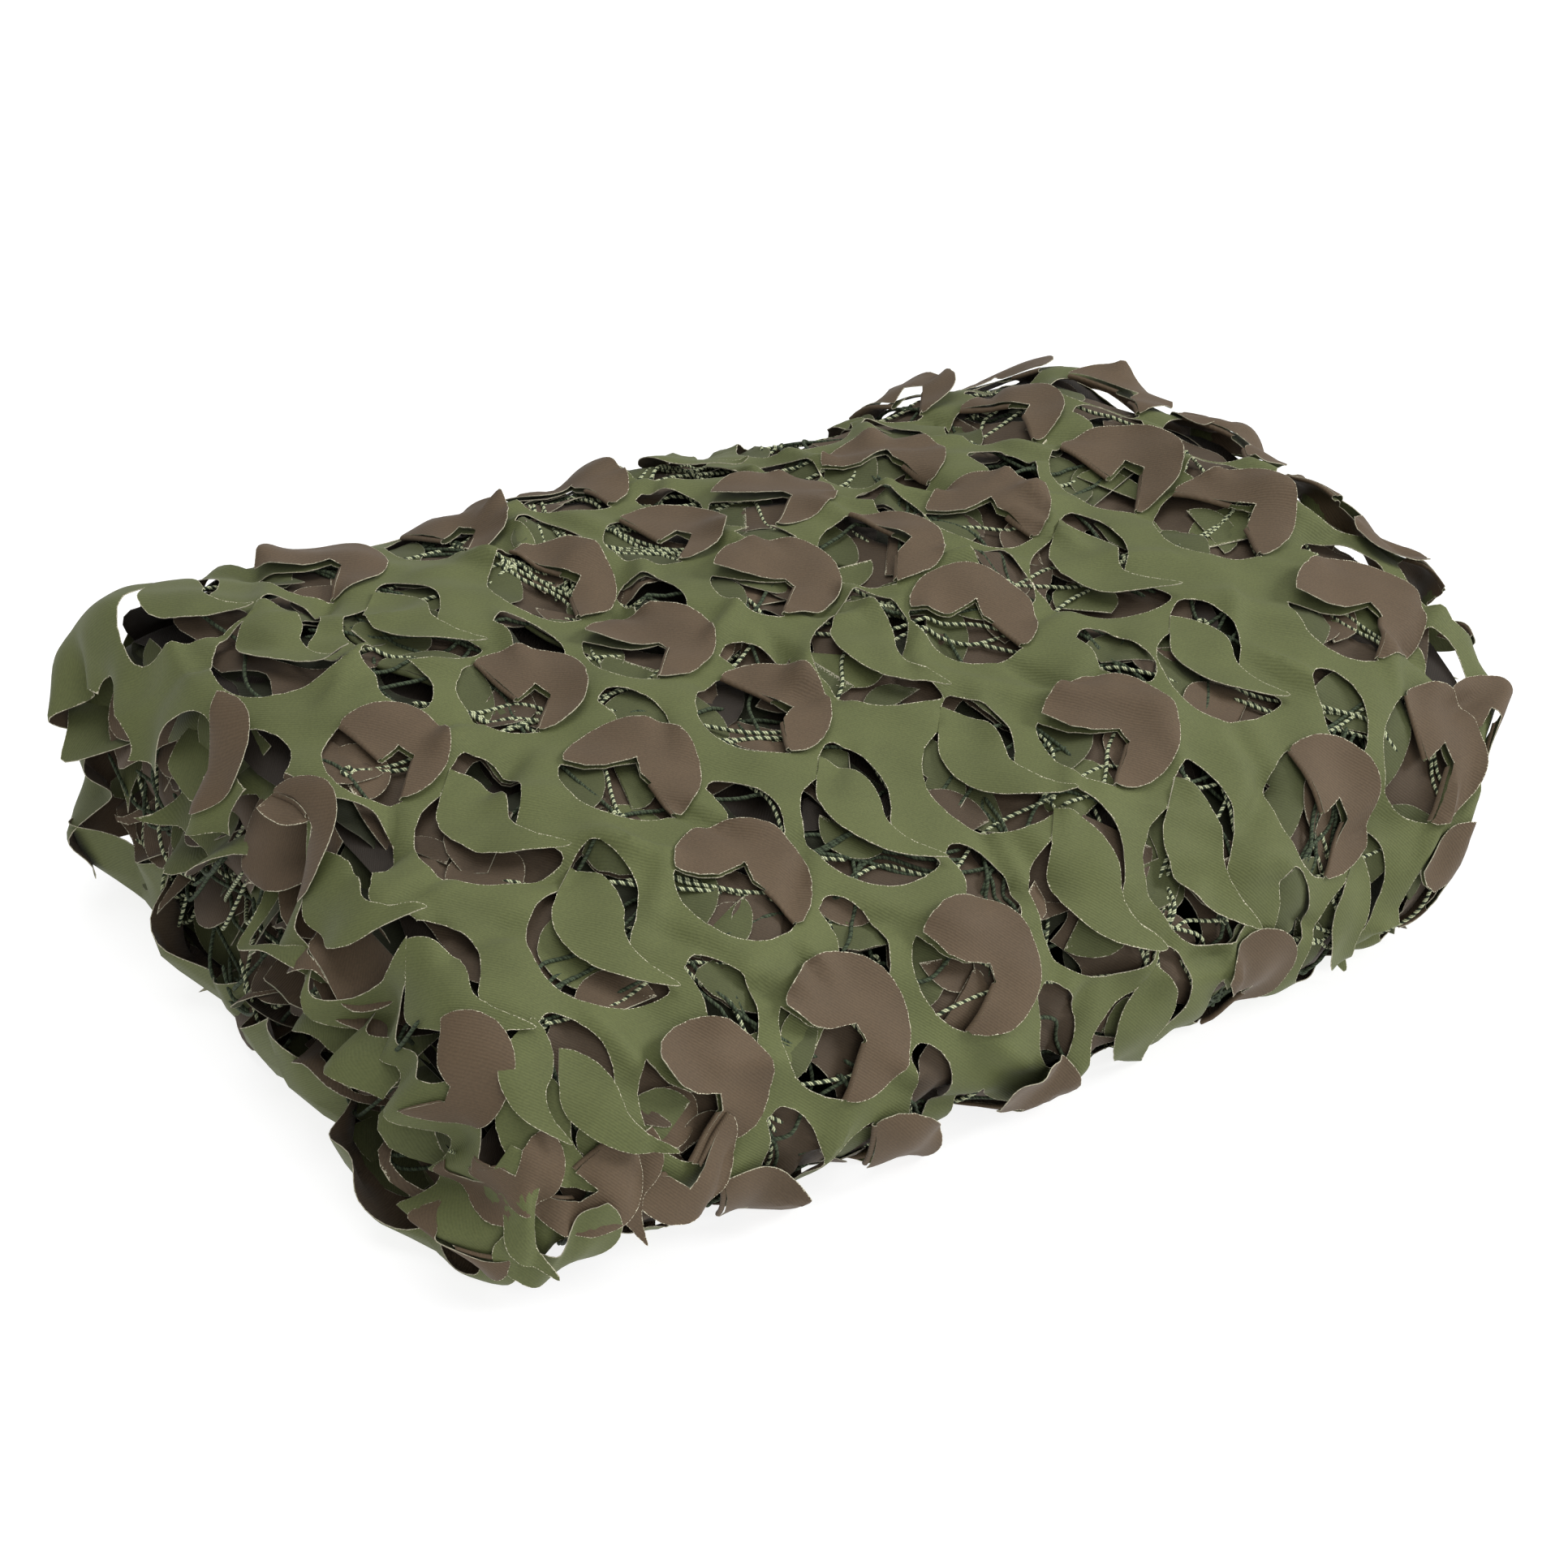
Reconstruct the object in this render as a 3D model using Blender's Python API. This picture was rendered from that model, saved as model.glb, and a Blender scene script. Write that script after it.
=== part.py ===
"""A camouflage net, folded into a flat bundle and lying on the floor. Metres, +Z up, front towards -Y.

The net is one die-cut cloth, folded back and forth, with a knotted cord net behind it. The cloth's outer
layer runs along the floor, up the round front, over the domed top and down the back, and the inner layers
lie in it. The whole cloth is charted flat: u runs along X, and s runs along the folded section. Each repeat
of the die-cut pattern has a flap that is folded over beside its hole, and a crescent between four holes.
"""
import math

import bmesh
import bpy
from mathutils import Vector
from mathutils.geometry import delaunay_2d_cdt

WIDTH = 0.570            # of the bundle, along X
CLOTH = 0.0020           # thickness of the cloth
CORD = 0.0024            # width of a cord of the backing net
CORD_DEPTH = 0.0016      # height of a cord
NET_INSET = 0.0052       # from the middle of the outer layer in to the middle of the cords

# The outer layer's middle line, seen from the left end: one row for each point, from the back of the run on
# the floor, round the front and over the top to the foot of the back.
OUTER_SECTION = [
    # y, z
    (0.188, 0.0010),
    (0.100, 0.0010),
    (0.000, 0.0010),
    (-0.100, 0.0010),
    (-0.160, 0.0010),
    (-0.188, 0.0050),
    (-0.204, 0.0230),
    (-0.209, 0.0480),
    (-0.200, 0.0800),
    (-0.176, 0.1090),
    (-0.142, 0.1300),
    (-0.100, 0.1450),
    (-0.050, 0.1580),
    (0.000, 0.1680),
    (0.050, 0.1740),
    (0.100, 0.1740),
    (0.150, 0.1690),
    (0.183, 0.1570),
    (0.202, 0.1330),
    (0.208, 0.0950),
    (0.206, 0.0500),
    (0.201, 0.0180),
]
TOP_LOW = 0.100          # what lies higher than this belongs to the top
OUTER_SPACING = 0.024    # of the mesh's rows along the outer layer
OUTER_COLUMNS = 12

# The inner layers: runs across the bundle, joined by tight turns at the front and at the back.
RUNS = 15
RUN_LOW = 0.0085         # middle of the lowest run above the floor
RUN_CLEAR = 0.0130       # middle of the highest run below the middle of the outer layer
TURN_FRONT = -0.158      # y where the front turns begin
TURN_BACK = 0.168
TURN_UNEVEN = 0.008      # how far the turns lie in and out
TURN_WAVE = 2.3          # radians from one run to the next
TURN_STEPS = 4
FOOT_STEP = 0.012        # the lowest run starts this far in front of the foot of the back
FOOT_BOW = 0.0022        # how far the cloth bows out between the two
RUN_STEPS = 12
RUN_SPACING = 0.040
RUN_COLUMNS = 2

# The die-cut pattern.
PITCH_X = 0.071          # between repeats along X
PITCH_S = 0.0736         # between rows of repeats, along the section
ROW_SHIFT = 0.0128       # each row nearer the front lies this much further to +X
COLUMN_DROP = -0.0048    # each repeat to +X lies this much nearer the front
CENTRE_X = -0.157        # repeat 0 of row 0
CENTRE_Y = 0.002         # row 0 lies on the top here
FLAP_ROWS = range(-2, 4)
PLAIN_ROWS = (*range(-5, -2), *range(5, 9))
INNER_HOLE_SIDES = 6     # the highest inner run shows through the outer layer, so it is cut too
COLUMNS = range(-6, 12)
EDGE_MARGIN = 0.006      # cloth left between a hole and an end of the bundle
HOLE_CLEAR = 0.012       # between a hole and the mesh's other points

HOLE_CENTRE = (0.004, -0.001)
HOLE_RADIUS = 0.0325
PLAIN_RADIUS = 0.0290
FLAP_CENTRE = (0.008, -0.001)
FLAP_RADIUS = 0.0325
FOLD_GAP = 0.0046        # from the middle of the cloth up to the middle of a flap that is folded over it
FOLD_BULGE = 0.0026      # how far a fold line stands out over the hole
CURL = 0.10              # how steeply a folded flap rises from its fold
CURL_UNEVEN = 0.08       # and how much more or less than that
CURL_START = 0.004       # from this u on
CORNER_INSET = 0.14      # a flap's fold lines stop short of the rim by this share of their length

# The inner edge of a folded flap, with its notch, as offsets from the middle of a repeat. v is towards the
# front.
FLAP_EDGE = [
    # u, v, whether the edge on to the next point is a fold line
    (-0.004, -0.0310, True),
    (0.002, 0.0020, False),
    (0.013, -0.0030, False),
    (0.015, 0.0085, True),
    (-0.003, 0.0300, False),
]
# The crescent between four repeats, as offsets from the middle of the repeat to its back left.
CRESCENT = [
    # u, v
    (0.031, 0.0210),
    (0.042, 0.0260),
    (0.049, 0.0400),
    (0.048, 0.0560),
    (0.038, 0.0640),
    (0.028, 0.0480),
]

# The bundle's uneven lie.
RISE = 0.15              # how much higher the right end is, as a share of the height for each metre
FRONT_BULGE = 0.012      # how far the middle of the front stands out
BACK_SKEW = 0.016        # how much further back the left end reaches than the middle
RIGHT_SLANT = 0.040      # how much further the right end reaches at the top than at the floor
RIGHT_LEVEL = 0.65       # share of the height where the right end is at its true length
RIGHT_SKEW = 0.014       # how much further the right end reaches at the front than in the middle
LEFT_BULGE = 0.008       # how far the lower layers stand out at the left end
LEFT_LEVEL = 1.2         # share of the height where they would not stand out
END_DROOP = 0.012        # how far the top hangs at the ends
END_REACH = 0.050        # how much of each end hangs
RIPPLE = 0.0045          # waves in the ends
RIPPLE_LENGTH = 0.095
RIPPLE_LEAN = 9.0        # radians that the waves shift from the floor to the top
RIPPLE_START = 2.0       # radians between the waves of the two ends
DENT = 0.0022            # soft dents all over
DENT_WAVES = [
    # radians for each metre along X, along Y, and at the middle
    (27.0, 11.0, 0.0),
    (19.0, -31.0, 1.0),
]
SWAY_WAVE = (23.0, 2.0)  # the same for the sway to the front and back
RAGGED = 0.0050          # how unevenly the layers end
RAGGED_WAVES = (21.0, 57.0)   # radians for each metre of cloth
REACH_Y = 0.21           # front and back of the bundle
REACH_Z = 0.17           # its height
MIDDLE = (0.0039, 0.0001)     # the middle of the finished bundle's box, which goes over the origin

NET_PITCH = 0.068        # between the knots of the backing net
NET_BACK = 0.150         # the cord net reaches over the top to this y
NET_FOOT = 0.030         # and down the front to this height
NET_SIDE = 0.240         # and to this x at each end
KNOT_WANDER = 0.10       # how far a knot lies from its place, as a share of the pitch

CLOTH_COLOUR = (0.115, 0.165, 0.060)
CORD_COLOUR = (0.060, 0.080, 0.040)


def clear_scene():
    for thing in list(bpy.data.objects):
        bpy.data.objects.remove(thing)


def plain_material(name, colour, roughness):
    material = bpy.data.materials.new(name)
    material.use_nodes = True
    shader = material.node_tree.nodes["Principled BSDF"]
    shader.inputs["Base Color"].default_value = (*colour, 1.0)
    shader.inputs["Roughness"].default_value = roughness
    shader.inputs["Metallic"].default_value = 0.0
    return material


def smooth_line(points, steps=8):
    """A Catmull-Rom line through the points."""
    line = []
    for k in range(len(points) - 1):
        before = Vector(points[max(k - 1, 0)])
        here = Vector(points[k])
        there = Vector(points[k + 1])
        after = Vector(points[min(k + 2, len(points) - 1)])
        for step in range(steps):
            t = step / steps
            line.append(0.5 * (2 * here + (there - before) * t
                               + (2 * before - 5 * here + 4 * there - after) * t * t
                               + (3 * here - before - 3 * there + after) * t ** 3))
    line.append(Vector(points[-1]))
    return line


def between(x, xs, ys):
    """Straight-line interpolation, for rising xs."""
    if x <= xs[0]:
        return ys[0]
    low, high = 0, len(xs) - 1
    if x >= xs[high]:
        return ys[high]
    while high - low > 1:
        middle = (low + high) // 2
        if xs[middle] <= x:
            low = middle
        else:
            high = middle
    share = (x - xs[low]) / (xs[high] - xs[low])
    return ys[low] + (ys[high] - ys[low]) * share


class Section:
    """The folded cloth's middle line in the Y-Z plane, and its length s along the cloth."""

    def __init__(self):
        flat = [Vector(point) for point in OUTER_SECTION if point[1] == OUTER_SECTION[0][1]]
        self.line = flat[:-1] + smooth_line(OUTER_SECTION[len(flat) - 1:])
        self.outer_count = len(self.line)
        top = sorted((point for point in self.line if point.y > TOP_LOW), key=lambda point: point.x)
        self.top_y = [point.x for point in top]
        self.top_z = [point.y for point in top]
        self.turn_marks = []
        self.add_runs()
        self.length = [0.0]
        for k in range(1, len(self.line)):
            self.length.append(self.length[-1] + (self.line[k] - self.line[k - 1]).length)
        self.ys = [point.x for point in self.line]
        self.zs = [point.y for point in self.line]
        self.outer_end = self.length[self.outer_count - 1]
        self.turns = [self.length[k] for k in self.turn_marks]
        crown = [k for k in range(self.outer_count) if self.zs[k] > TOP_LOW]
        self.reference = self.length[min(crown, key=lambda k: abs(self.ys[k] - CENTRE_Y))]

    def run_height(self, run, y):
        share = (run - 1) / (RUNS - 1)
        high = between(y, self.top_y, self.top_z) - RUN_CLEAR
        return RUN_LOW + share * (high - RUN_LOW)

    def turn_y(self, run, at_front):
        uneven = TURN_UNEVEN * math.sin(TURN_WAVE * run + 0.7)
        return TURN_FRONT + uneven if at_front else TURN_BACK + uneven

    def add_turn(self, start, end, outward):
        """A half turn from one run to the next. Its rows are marked, so that the mesh keeps them."""
        middle = (start + end) / 2
        radius = (end - start).length / 2
        for step in range(TURN_STEPS + 1):
            angle = math.pi * step / TURN_STEPS
            point = middle + (start - middle) * math.cos(angle)
            point.x += outward * radius * math.sin(angle)
            self.turn_marks.append(len(self.line))
            self.line.append(point)

    def add_runs(self):
        foot = self.line[-1]
        first_y = foot.x - FOOT_STEP
        first = Vector((first_y, self.run_height(1, first_y)))
        self.turn_marks.append(len(self.line) - 1)
        for step in (1, 2):
            point = foot.lerp(first, step / 3)
            point += Vector((FOOT_BOW, -FOOT_BOW)) * math.sin(math.pi * step / 3)
            self.turn_marks.append(len(self.line))
            self.line.append(point)
        self.turn_marks.append(len(self.line))
        self.line.append(first)
        for run in range(1, RUNS + 1):
            to_front = run % 2 == 1
            start = self.line[-1].x
            end = self.turn_y(run, to_front)
            for step in range(1, RUN_STEPS):
                y = start + (end - start) * step / RUN_STEPS
                self.line.append(Vector((y, self.run_height(run, y))))
            if run < RUNS:
                here = Vector((end, self.run_height(run, end)))
                there = Vector((end, self.run_height(run + 1, end)))
                self.add_turn(here, there, -1 if to_front else 1)
            else:
                self.line.append(Vector((end, self.run_height(run, end))))

    def at(self, s):
        return Vector((between(s, self.length, self.ys), between(s, self.length, self.zs)))

    def outward(self, s):
        """The unit normal on the cloth's outer face."""
        along = self.at(s + 0.002) - self.at(s - 0.002)
        return Vector((-along.y, along.x)).normalized()


def settle(x, y, z):
    """The uneven lie: the same smooth shift for every layer, and nothing up or down at the floor."""
    height = z / REACH_Z
    across = 2 * x / WIDTH
    at_end = max(0.0, abs(x) - (WIDTH / 2 - END_REACH)) / END_REACH
    phase = RIPPLE_LEAN * height + (RIPPLE_START if x > 0 else 0.0)
    wave = math.sin(2 * math.pi * y / RIPPLE_LENGTH + phase)
    new_z = z * (1 + RISE * x)
    new_z += height * (RIPPLE * at_end * wave - END_DROOP * at_end * at_end)
    new_z += height * DENT * sum(math.sin(a * x + b * y + c) for a, b, c in DENT_WAVES)
    new_y = y + height * DENT * math.sin(SWAY_WAVE[0] * x + SWAY_WAVE[1])
    new_y -= FRONT_BULGE * (1 - across * across) * max(0.0, -y / REACH_Y) ** 2
    new_y += BACK_SKEW * max(0.0, -across) * max(0.0, y / REACH_Y) ** 2
    lean = RIGHT_SLANT * (height - RIGHT_LEVEL) - RIGHT_SKEW * height * y / REACH_Y
    bulge = LEFT_BULGE * (LEFT_LEVEL - height) * (1 - (y / REACH_Y) ** 2)
    new_x = x + lean * max(0.0, across) ** 2 - bulge * max(0.0, -across) ** 4
    return Vector((new_x - MIDDLE[0], new_y - MIDDLE[1], new_z))


def place(section, u, s, lift):
    point = section.at(s) + section.outward(s) * lift
    return settle(u, point.x, point.y)


def repeat_centre(section, column, row):
    u = CENTRE_X + column * PITCH_X + row * ROW_SHIFT
    s = section.reference - row * PITCH_S - column * COLUMN_DROP
    return u, s


def arc(centre, radius, start, end, steps):
    """Points from one angle to the other, both left out. Angles go from +u towards +v, in degrees."""
    points = []
    for step in range(1, steps):
        angle = math.radians(start + (end - start) * step / steps)
        points.append((centre[0] + radius * math.cos(angle), centre[1] + radius * math.sin(angle)))
    return points


def inside(point, loop):
    within = False
    for k in range(len(loop)):
        a, b = loop[k - 1], loop[k]
        if (a[1] > point[1]) != (b[1] > point[1]):
            cut = a[0] + (point[1] - a[1]) * (b[0] - a[0]) / (b[1] - a[1])
            if point[0] < cut:
                within = not within
    return within


def near_loop(point, loop):
    return any(math.hypot(point[0] - p[0], point[1] - p[1]) < HOLE_CLEAR for p in loop)


class Chart:
    """A flat outline with holes, triangulated, then placed in space."""

    def __init__(self):
        self.points = []
        self.edges = []
        self.loops = []
        self.outline = []

    def add_points(self, points, closed, as_line=True):
        first = len(self.points)
        self.points.extend(Vector(point) for point in points)
        count = len(points)
        if as_line:
            self.edges.extend((first + k, first + k + 1) for k in range(count - 1))
            if closed:
                self.edges.append((first + count - 1, first))
        return list(range(first, first + count))

    def triangles(self):
        """The corners, the triangles inside the outline and clear of the holes, and where each point went."""
        corners, _, faces, origin, _, _ = delaunay_2d_cdt(self.points, self.edges, [], 0, 1e-6)
        where = {}
        for k, sources in enumerate(origin):
            for source in sources:
                where[source] = k
        kept = []
        for face in faces:
            middle = sum((corners[k] for k in face), Vector((0.0, 0.0))) / len(face)
            if not inside(middle, self.outline):
                continue
            if any(box[0] < middle.x < box[1] and box[2] < middle.y < box[3] and inside(middle, loop)
                   for loop, box in self.loops):
                continue
            kept.append(tuple(face))
        return corners, kept, where

    def add_hole(self, loop):
        box = (min(p[0] for p in loop), max(p[0] for p in loop),
               min(p[1] for p in loop), max(p[1] for p in loop))
        self.loops.append((loop, box))
        return self.add_points(loop, closed=True)


def thick_object(name, section, corners, faces, thickness, material):
    """One closed body from a sheet. A corner is (u, s, lift, lean): its two sides lie half the thickness
    either way along the cloth's normal, which lean turns by so many quarter turns towards +u, as in a fold.
    """
    form = bmesh.new()
    sides = []
    for direction in (1, -1):
        side = []
        for u, s, lift, lean in corners:
            reach = direction * thickness / 2
            angle = lean * math.pi / 2
            spot = place(section, u + reach * math.sin(angle), s, lift + reach * math.cos(angle))
            side.append(form.verts.new(spot))
        sides.append(side)
    over, under = sides
    used = {}
    for face in faces:
        form.faces.new([over[k] for k in face])
        form.faces.new([under[k] for k in reversed(face)])
        for k in range(len(face)):
            used[(face[k - 1], face[k])] = True
    for a, b in used:
        if (b, a) not in used:
            form.faces.new((over[b], over[a], under[a], under[b]))
    loose = [point for point in form.verts if not point.link_faces]
    bmesh.ops.delete(form, geom=loose, context="VERTS")
    mesh = bpy.data.meshes.new(name)
    form.to_mesh(mesh)
    form.free()
    mesh.materials.append(material)
    thing = bpy.data.objects.new(name, mesh)
    bpy.context.scene.collection.objects.link(thing)
    return thing


def end_x(s, side):
    """Where the cloth ends at a side of the bundle: each layer a little further in or out."""
    wave = 0.6 * math.sin(s * RAGGED_WAVES[0]) + 0.4 * math.sin(s * RAGGED_WAVES[1] + side)
    return side * (WIDTH / 2 + RAGGED * wave)


def cloth_rows(section):
    """The s of every row of points: close in the turns and at the round front, wide in the runs."""
    marks = set(section.turns)
    marks.add(0.0)
    marks.add(section.outer_end)
    marks.add(section.length[-1])
    fixed = sorted(marks)
    rows = []
    for a, b in zip(fixed[:-1], fixed[1:]):
        spacing = OUTER_SPACING if b <= section.outer_end else RUN_SPACING
        count = max(1, round((b - a) / spacing))
        rows.extend(a + (b - a) * k / count for k in range(count))
    rows.append(fixed[-1])
    return rows


def flap_hole(centre):
    """The hole beside a folded flap: the round rim, then back along the flap's inner edge."""
    u, s = centre
    first, last = FLAP_EDGE[0], FLAP_EDGE[-1]
    start = math.degrees(math.atan2(last[1] - HOLE_CENTRE[1], last[0] - HOLE_CENTRE[0]))
    end = 360 + math.degrees(math.atan2(first[1] - HOLE_CENTRE[1], first[0] - HOLE_CENTRE[0]))
    rim = arc(HOLE_CENTRE, HOLE_RADIUS, start, end, 5)
    edge = [(row[0], row[1]) for row in FLAP_EDGE]
    return [(u + p[0], s - p[1]) for p in edge + rim]


def round_hole(centre, sides=8):
    u, s = centre
    rim = arc(HOLE_CENTRE, PLAIN_RADIUS, 0, 360, sides) + [(HOLE_CENTRE[0] + PLAIN_RADIUS, HOLE_CENTRE[1])]
    return [(u + p[0], s - p[1]) for p in rim]


def crescent_hole(centre):
    u, s = centre
    return [(u + p[0], s - p[1]) for p in CRESCENT]


def fits(loop, low_s, high_s):
    limit = WIDTH / 2 - RAGGED - EDGE_MARGIN
    return all(abs(p[0]) < limit and low_s + EDGE_MARGIN < p[1] < high_s - EDGE_MARGIN for p in loop)


def flap_lift(column, row, reach):
    """How high a flap stands at a distance past its fold line: each curls up differently."""
    curl = CURL + CURL_UNEVEN * math.sin(2.1 * column + 3.7 * row)
    return FOLD_GAP + curl * max(0.0, reach - CURL_START)


def add_flap(corners, faces, centre, hole, column, row):
    """A flap folded over to +X. Its bends start at the hole's fold edges, and it lies on the cloth beside."""
    u, s = centre
    edge = [Vector(point[:2]) for point in FLAP_EDGE]
    edge[0] = edge[0].lerp(edge[1], CORNER_INSET)
    edge[-1] = edge[-1].lerp(edge[-2], CORNER_INSET)
    start = math.degrees(math.atan2(edge[0].y - FLAP_CENTRE[1], edge[0].x - FLAP_CENTRE[0]))
    end = math.degrees(math.atan2(edge[-1].y - FLAP_CENTRE[1], edge[-1].x - FLAP_CENTRE[0]))
    rim = arc(FLAP_CENTRE, FLAP_RADIUS, start, end, len(edge) + 1)

    def add(point, lift, lean):
        corners.append((u + point[0], s - point[1], lift, lean))
        return len(corners) - 1

    inner = [add(point, FOLD_GAP, 2) for point in edge]
    outer = [inner[0]]
    outer += [add(point, flap_lift(column, row, point[0]), 2) for point in rim]
    outer.append(inner[-1])
    for k in range(len(edge) - 1):
        if FLAP_EDGE[k][2]:
            bend = [add(point - Vector((FOLD_BULGE, 0.0)), FOLD_GAP / 2, 1) for point in edge[k:k + 2]]
            faces.append((hole[k + 1], hole[k], bend[0], bend[1]))
            faces.append((bend[1], bend[0], inner[k], inner[k + 1]))
    for k in range(len(inner) - 1):
        if k > 0:
            faces.append((inner[k], outer[k], outer[k + 1]))
        faces.append((inner[k], outer[k + 1], inner[k + 1]))
    faces.append((inner[-1], outer[-3], outer[-2]))


def make_cloth(section):
    chart = Chart()
    rows = cloth_rows(section)
    left = [(end_x(s, -1), s) for s in rows]
    right = [(end_x(s, 1), s) for s in rows]
    chart.outline = left + right[::-1]
    chart.add_points(chart.outline, closed=True)

    flaps = []
    for row in (*PLAIN_ROWS, *FLAP_ROWS):
        for column in COLUMNS:
            centre = repeat_centre(section, column, row)
            folded = row in FLAP_ROWS
            loop = flap_hole(centre) if folded else round_hole(centre)
            if fits(loop, 0.0, section.outer_end):
                hole = chart.add_hole(loop)
                if folded:
                    flaps.append((centre, hole, column, row))
            loop = crescent_hole(centre)
            if folded and fits(loop, 0.0, section.outer_end):
                chart.add_hole(loop)

    start, end = section.turns[-1], section.length[-1]
    for row in range(round((end - start) / PITCH_S)):
        for column in COLUMNS:
            centre = (CENTRE_X + column * PITCH_X + row * ROW_SHIFT, start + (row + 0.5) * PITCH_S)
            loop = round_hole(centre, INNER_HOLE_SIDES)
            if fits(loop, start, end):
                chart.add_hole(loop)

    turns = set(section.turns)
    for s in rows[1:-1]:
        if s in turns:
            chart.add_points([(end_x(s, -1), s), (end_x(s, 1), s)], closed=False)
            continue
        columns = OUTER_COLUMNS if s < section.outer_end else RUN_COLUMNS
        points = []
        for k in range(1, columns):
            u = WIDTH * (k / columns - 0.5)
            if not any(inside((u, s), loop) or near_loop((u, s), loop) for loop, _ in chart.loops):
                points.append((u, s))
        chart.add_points(points, closed=False, as_line=False)

    flat, faces, where = chart.triangles()
    corners = [(point.x, point.y, 0.0, 0) for point in flat]
    for centre, hole, column, row in flaps:
        add_flap(corners, faces, centre, [where[k] for k in hole], column, row)
    material = plain_material("die_cut_cloth", CLOTH_COLOUR, 0.75)
    return thick_object("cloth", section, corners, faces, CLOTH, material)


def make_cord_net(section):
    """The knotted cord net behind the cloth's top and front, its cords joined where they cross."""
    outer = range(section.outer_count)
    low = next(section.length[k] for k in outer if section.zs[k] > NET_FOOT)
    high = next(section.length[k] for k in outer if section.zs[k] > TOP_LOW and section.ys[k] > NET_BACK)
    rows = round((high - low) / NET_PITCH)
    columns = round(2 * NET_SIDE / NET_PITCH)
    step_s = (high - low) / rows
    step_u = 2 * NET_SIDE / columns
    half = CORD / 2

    def knot(k, r):
        """Knots wander a little from their places, but not along the net's own edges."""
        wander = KNOT_WANDER if 0 < k < columns and 0 < r < rows else 0.0
        return Vector((-NET_SIDE + step_u * (k + wander * math.sin(3.1 * k + 1.7 * r)),
                       low + step_s * (r + wander * math.sin(2.3 * k - 2.9 * r))))

    chart = Chart()
    across = 3
    side = NET_SIDE + half
    width_steps = [-side] + [step_u * k / 2 - NET_SIDE for k in range(1, 2 * columns)]
    height_steps = [low - half] + [low + step_s * r / across for r in range(1, rows * across)]
    chart.outline = [(u, low - half) for u in width_steps]
    chart.outline += [(side, s) for s in height_steps]
    chart.outline += [(-u, high + half) for u in width_steps]
    chart.outline += [(-side, low + high - s) for s in height_steps]
    chart.add_points(chart.outline, closed=True)
    for k in range(columns):
        for r in range(rows):
            ring = [knot(k, r), knot(k + 1, r), knot(k + 1, r + 1), knot(k, r + 1)]
            inset = []
            for n in range(4):
                before = (ring[n] - ring[n - 1]).normalized()
                after = (ring[(n + 1) % 4] - ring[n]).normalized()
                turn = before.x * after.y - before.y * after.x
                inset.append(ring[n] + (after - before) * half / turn)
            loop = [inset[0], inset[1]]
            loop += [inset[1].lerp(inset[2], n / across) for n in range(1, across)]
            loop += [inset[2], inset[3]]
            loop += [inset[3].lerp(inset[0], n / across) for n in range(1, across)]
            chart.add_hole([tuple(point) for point in loop])
    flat, faces, _ = chart.triangles()
    corners = [(point.x, point.y, -NET_INSET, 0) for point in flat]
    material = plain_material("twisted_cord", CORD_COLOUR, 0.8)
    return thick_object("cord_net", section, corners, faces, CORD_DEPTH, material)


clear_scene()
folded = Section()
make_cloth(folded)
make_cord_net(folded)
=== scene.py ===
"""A camouflage net, folded into a flat bundle. It is one die-cut cloth, green on its face and brown on its
reverse, backed by a net of twisted cord. The leaves cut in the cloth are folded over, raised or hang open.
"""

import math

import bpy
import numpy as np
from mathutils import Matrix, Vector, geometry


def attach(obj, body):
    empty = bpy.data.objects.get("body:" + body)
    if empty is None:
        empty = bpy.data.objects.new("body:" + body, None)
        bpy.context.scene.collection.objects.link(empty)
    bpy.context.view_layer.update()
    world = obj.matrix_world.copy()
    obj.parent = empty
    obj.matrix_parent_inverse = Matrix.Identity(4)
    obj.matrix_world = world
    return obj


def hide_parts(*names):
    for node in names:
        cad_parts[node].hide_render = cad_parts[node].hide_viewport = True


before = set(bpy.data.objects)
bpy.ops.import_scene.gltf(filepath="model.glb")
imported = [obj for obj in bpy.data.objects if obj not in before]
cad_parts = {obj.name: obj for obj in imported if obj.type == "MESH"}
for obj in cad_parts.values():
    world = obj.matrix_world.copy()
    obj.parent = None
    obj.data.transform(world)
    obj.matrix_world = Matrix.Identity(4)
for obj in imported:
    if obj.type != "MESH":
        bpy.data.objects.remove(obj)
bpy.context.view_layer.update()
chance = np.random.default_rng(29)

# ---- How the cloth is folded --------------------------------------------------------------------
# The outer layer runs along the floor, up the round front, over the domed top and down the back. The rest
# of the cloth lies in it, back and forth. Every point of the cloth is known by u, along X, and s, along
# the fold.
WIDTH = 0.570
OUTER_SECTION = [
    # y, z
    (0.188, 0.0010),
    (0.100, 0.0010),
    (0.000, 0.0010),
    (-0.100, 0.0010),
    (-0.160, 0.0010),
    (-0.188, 0.0050),
    (-0.204, 0.0230),
    (-0.209, 0.0480),
    (-0.200, 0.0800),
    (-0.176, 0.1090),
    (-0.142, 0.1300),
    (-0.100, 0.1450),
    (-0.050, 0.1580),
    (0.000, 0.1680),
    (0.050, 0.1740),
    (0.100, 0.1740),
    (0.150, 0.1690),
    (0.183, 0.1570),
    (0.202, 0.1330),
    (0.208, 0.0950),
    (0.206, 0.0500),
    (0.201, 0.0180),
]
TOP_LOW = 0.100          # what is higher than this is the top
CENTRE_Y = 0.002
REACH_Y = 0.21
REACH_Z = 0.17
MIDDLE = (0.0039, 0.0001)

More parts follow.
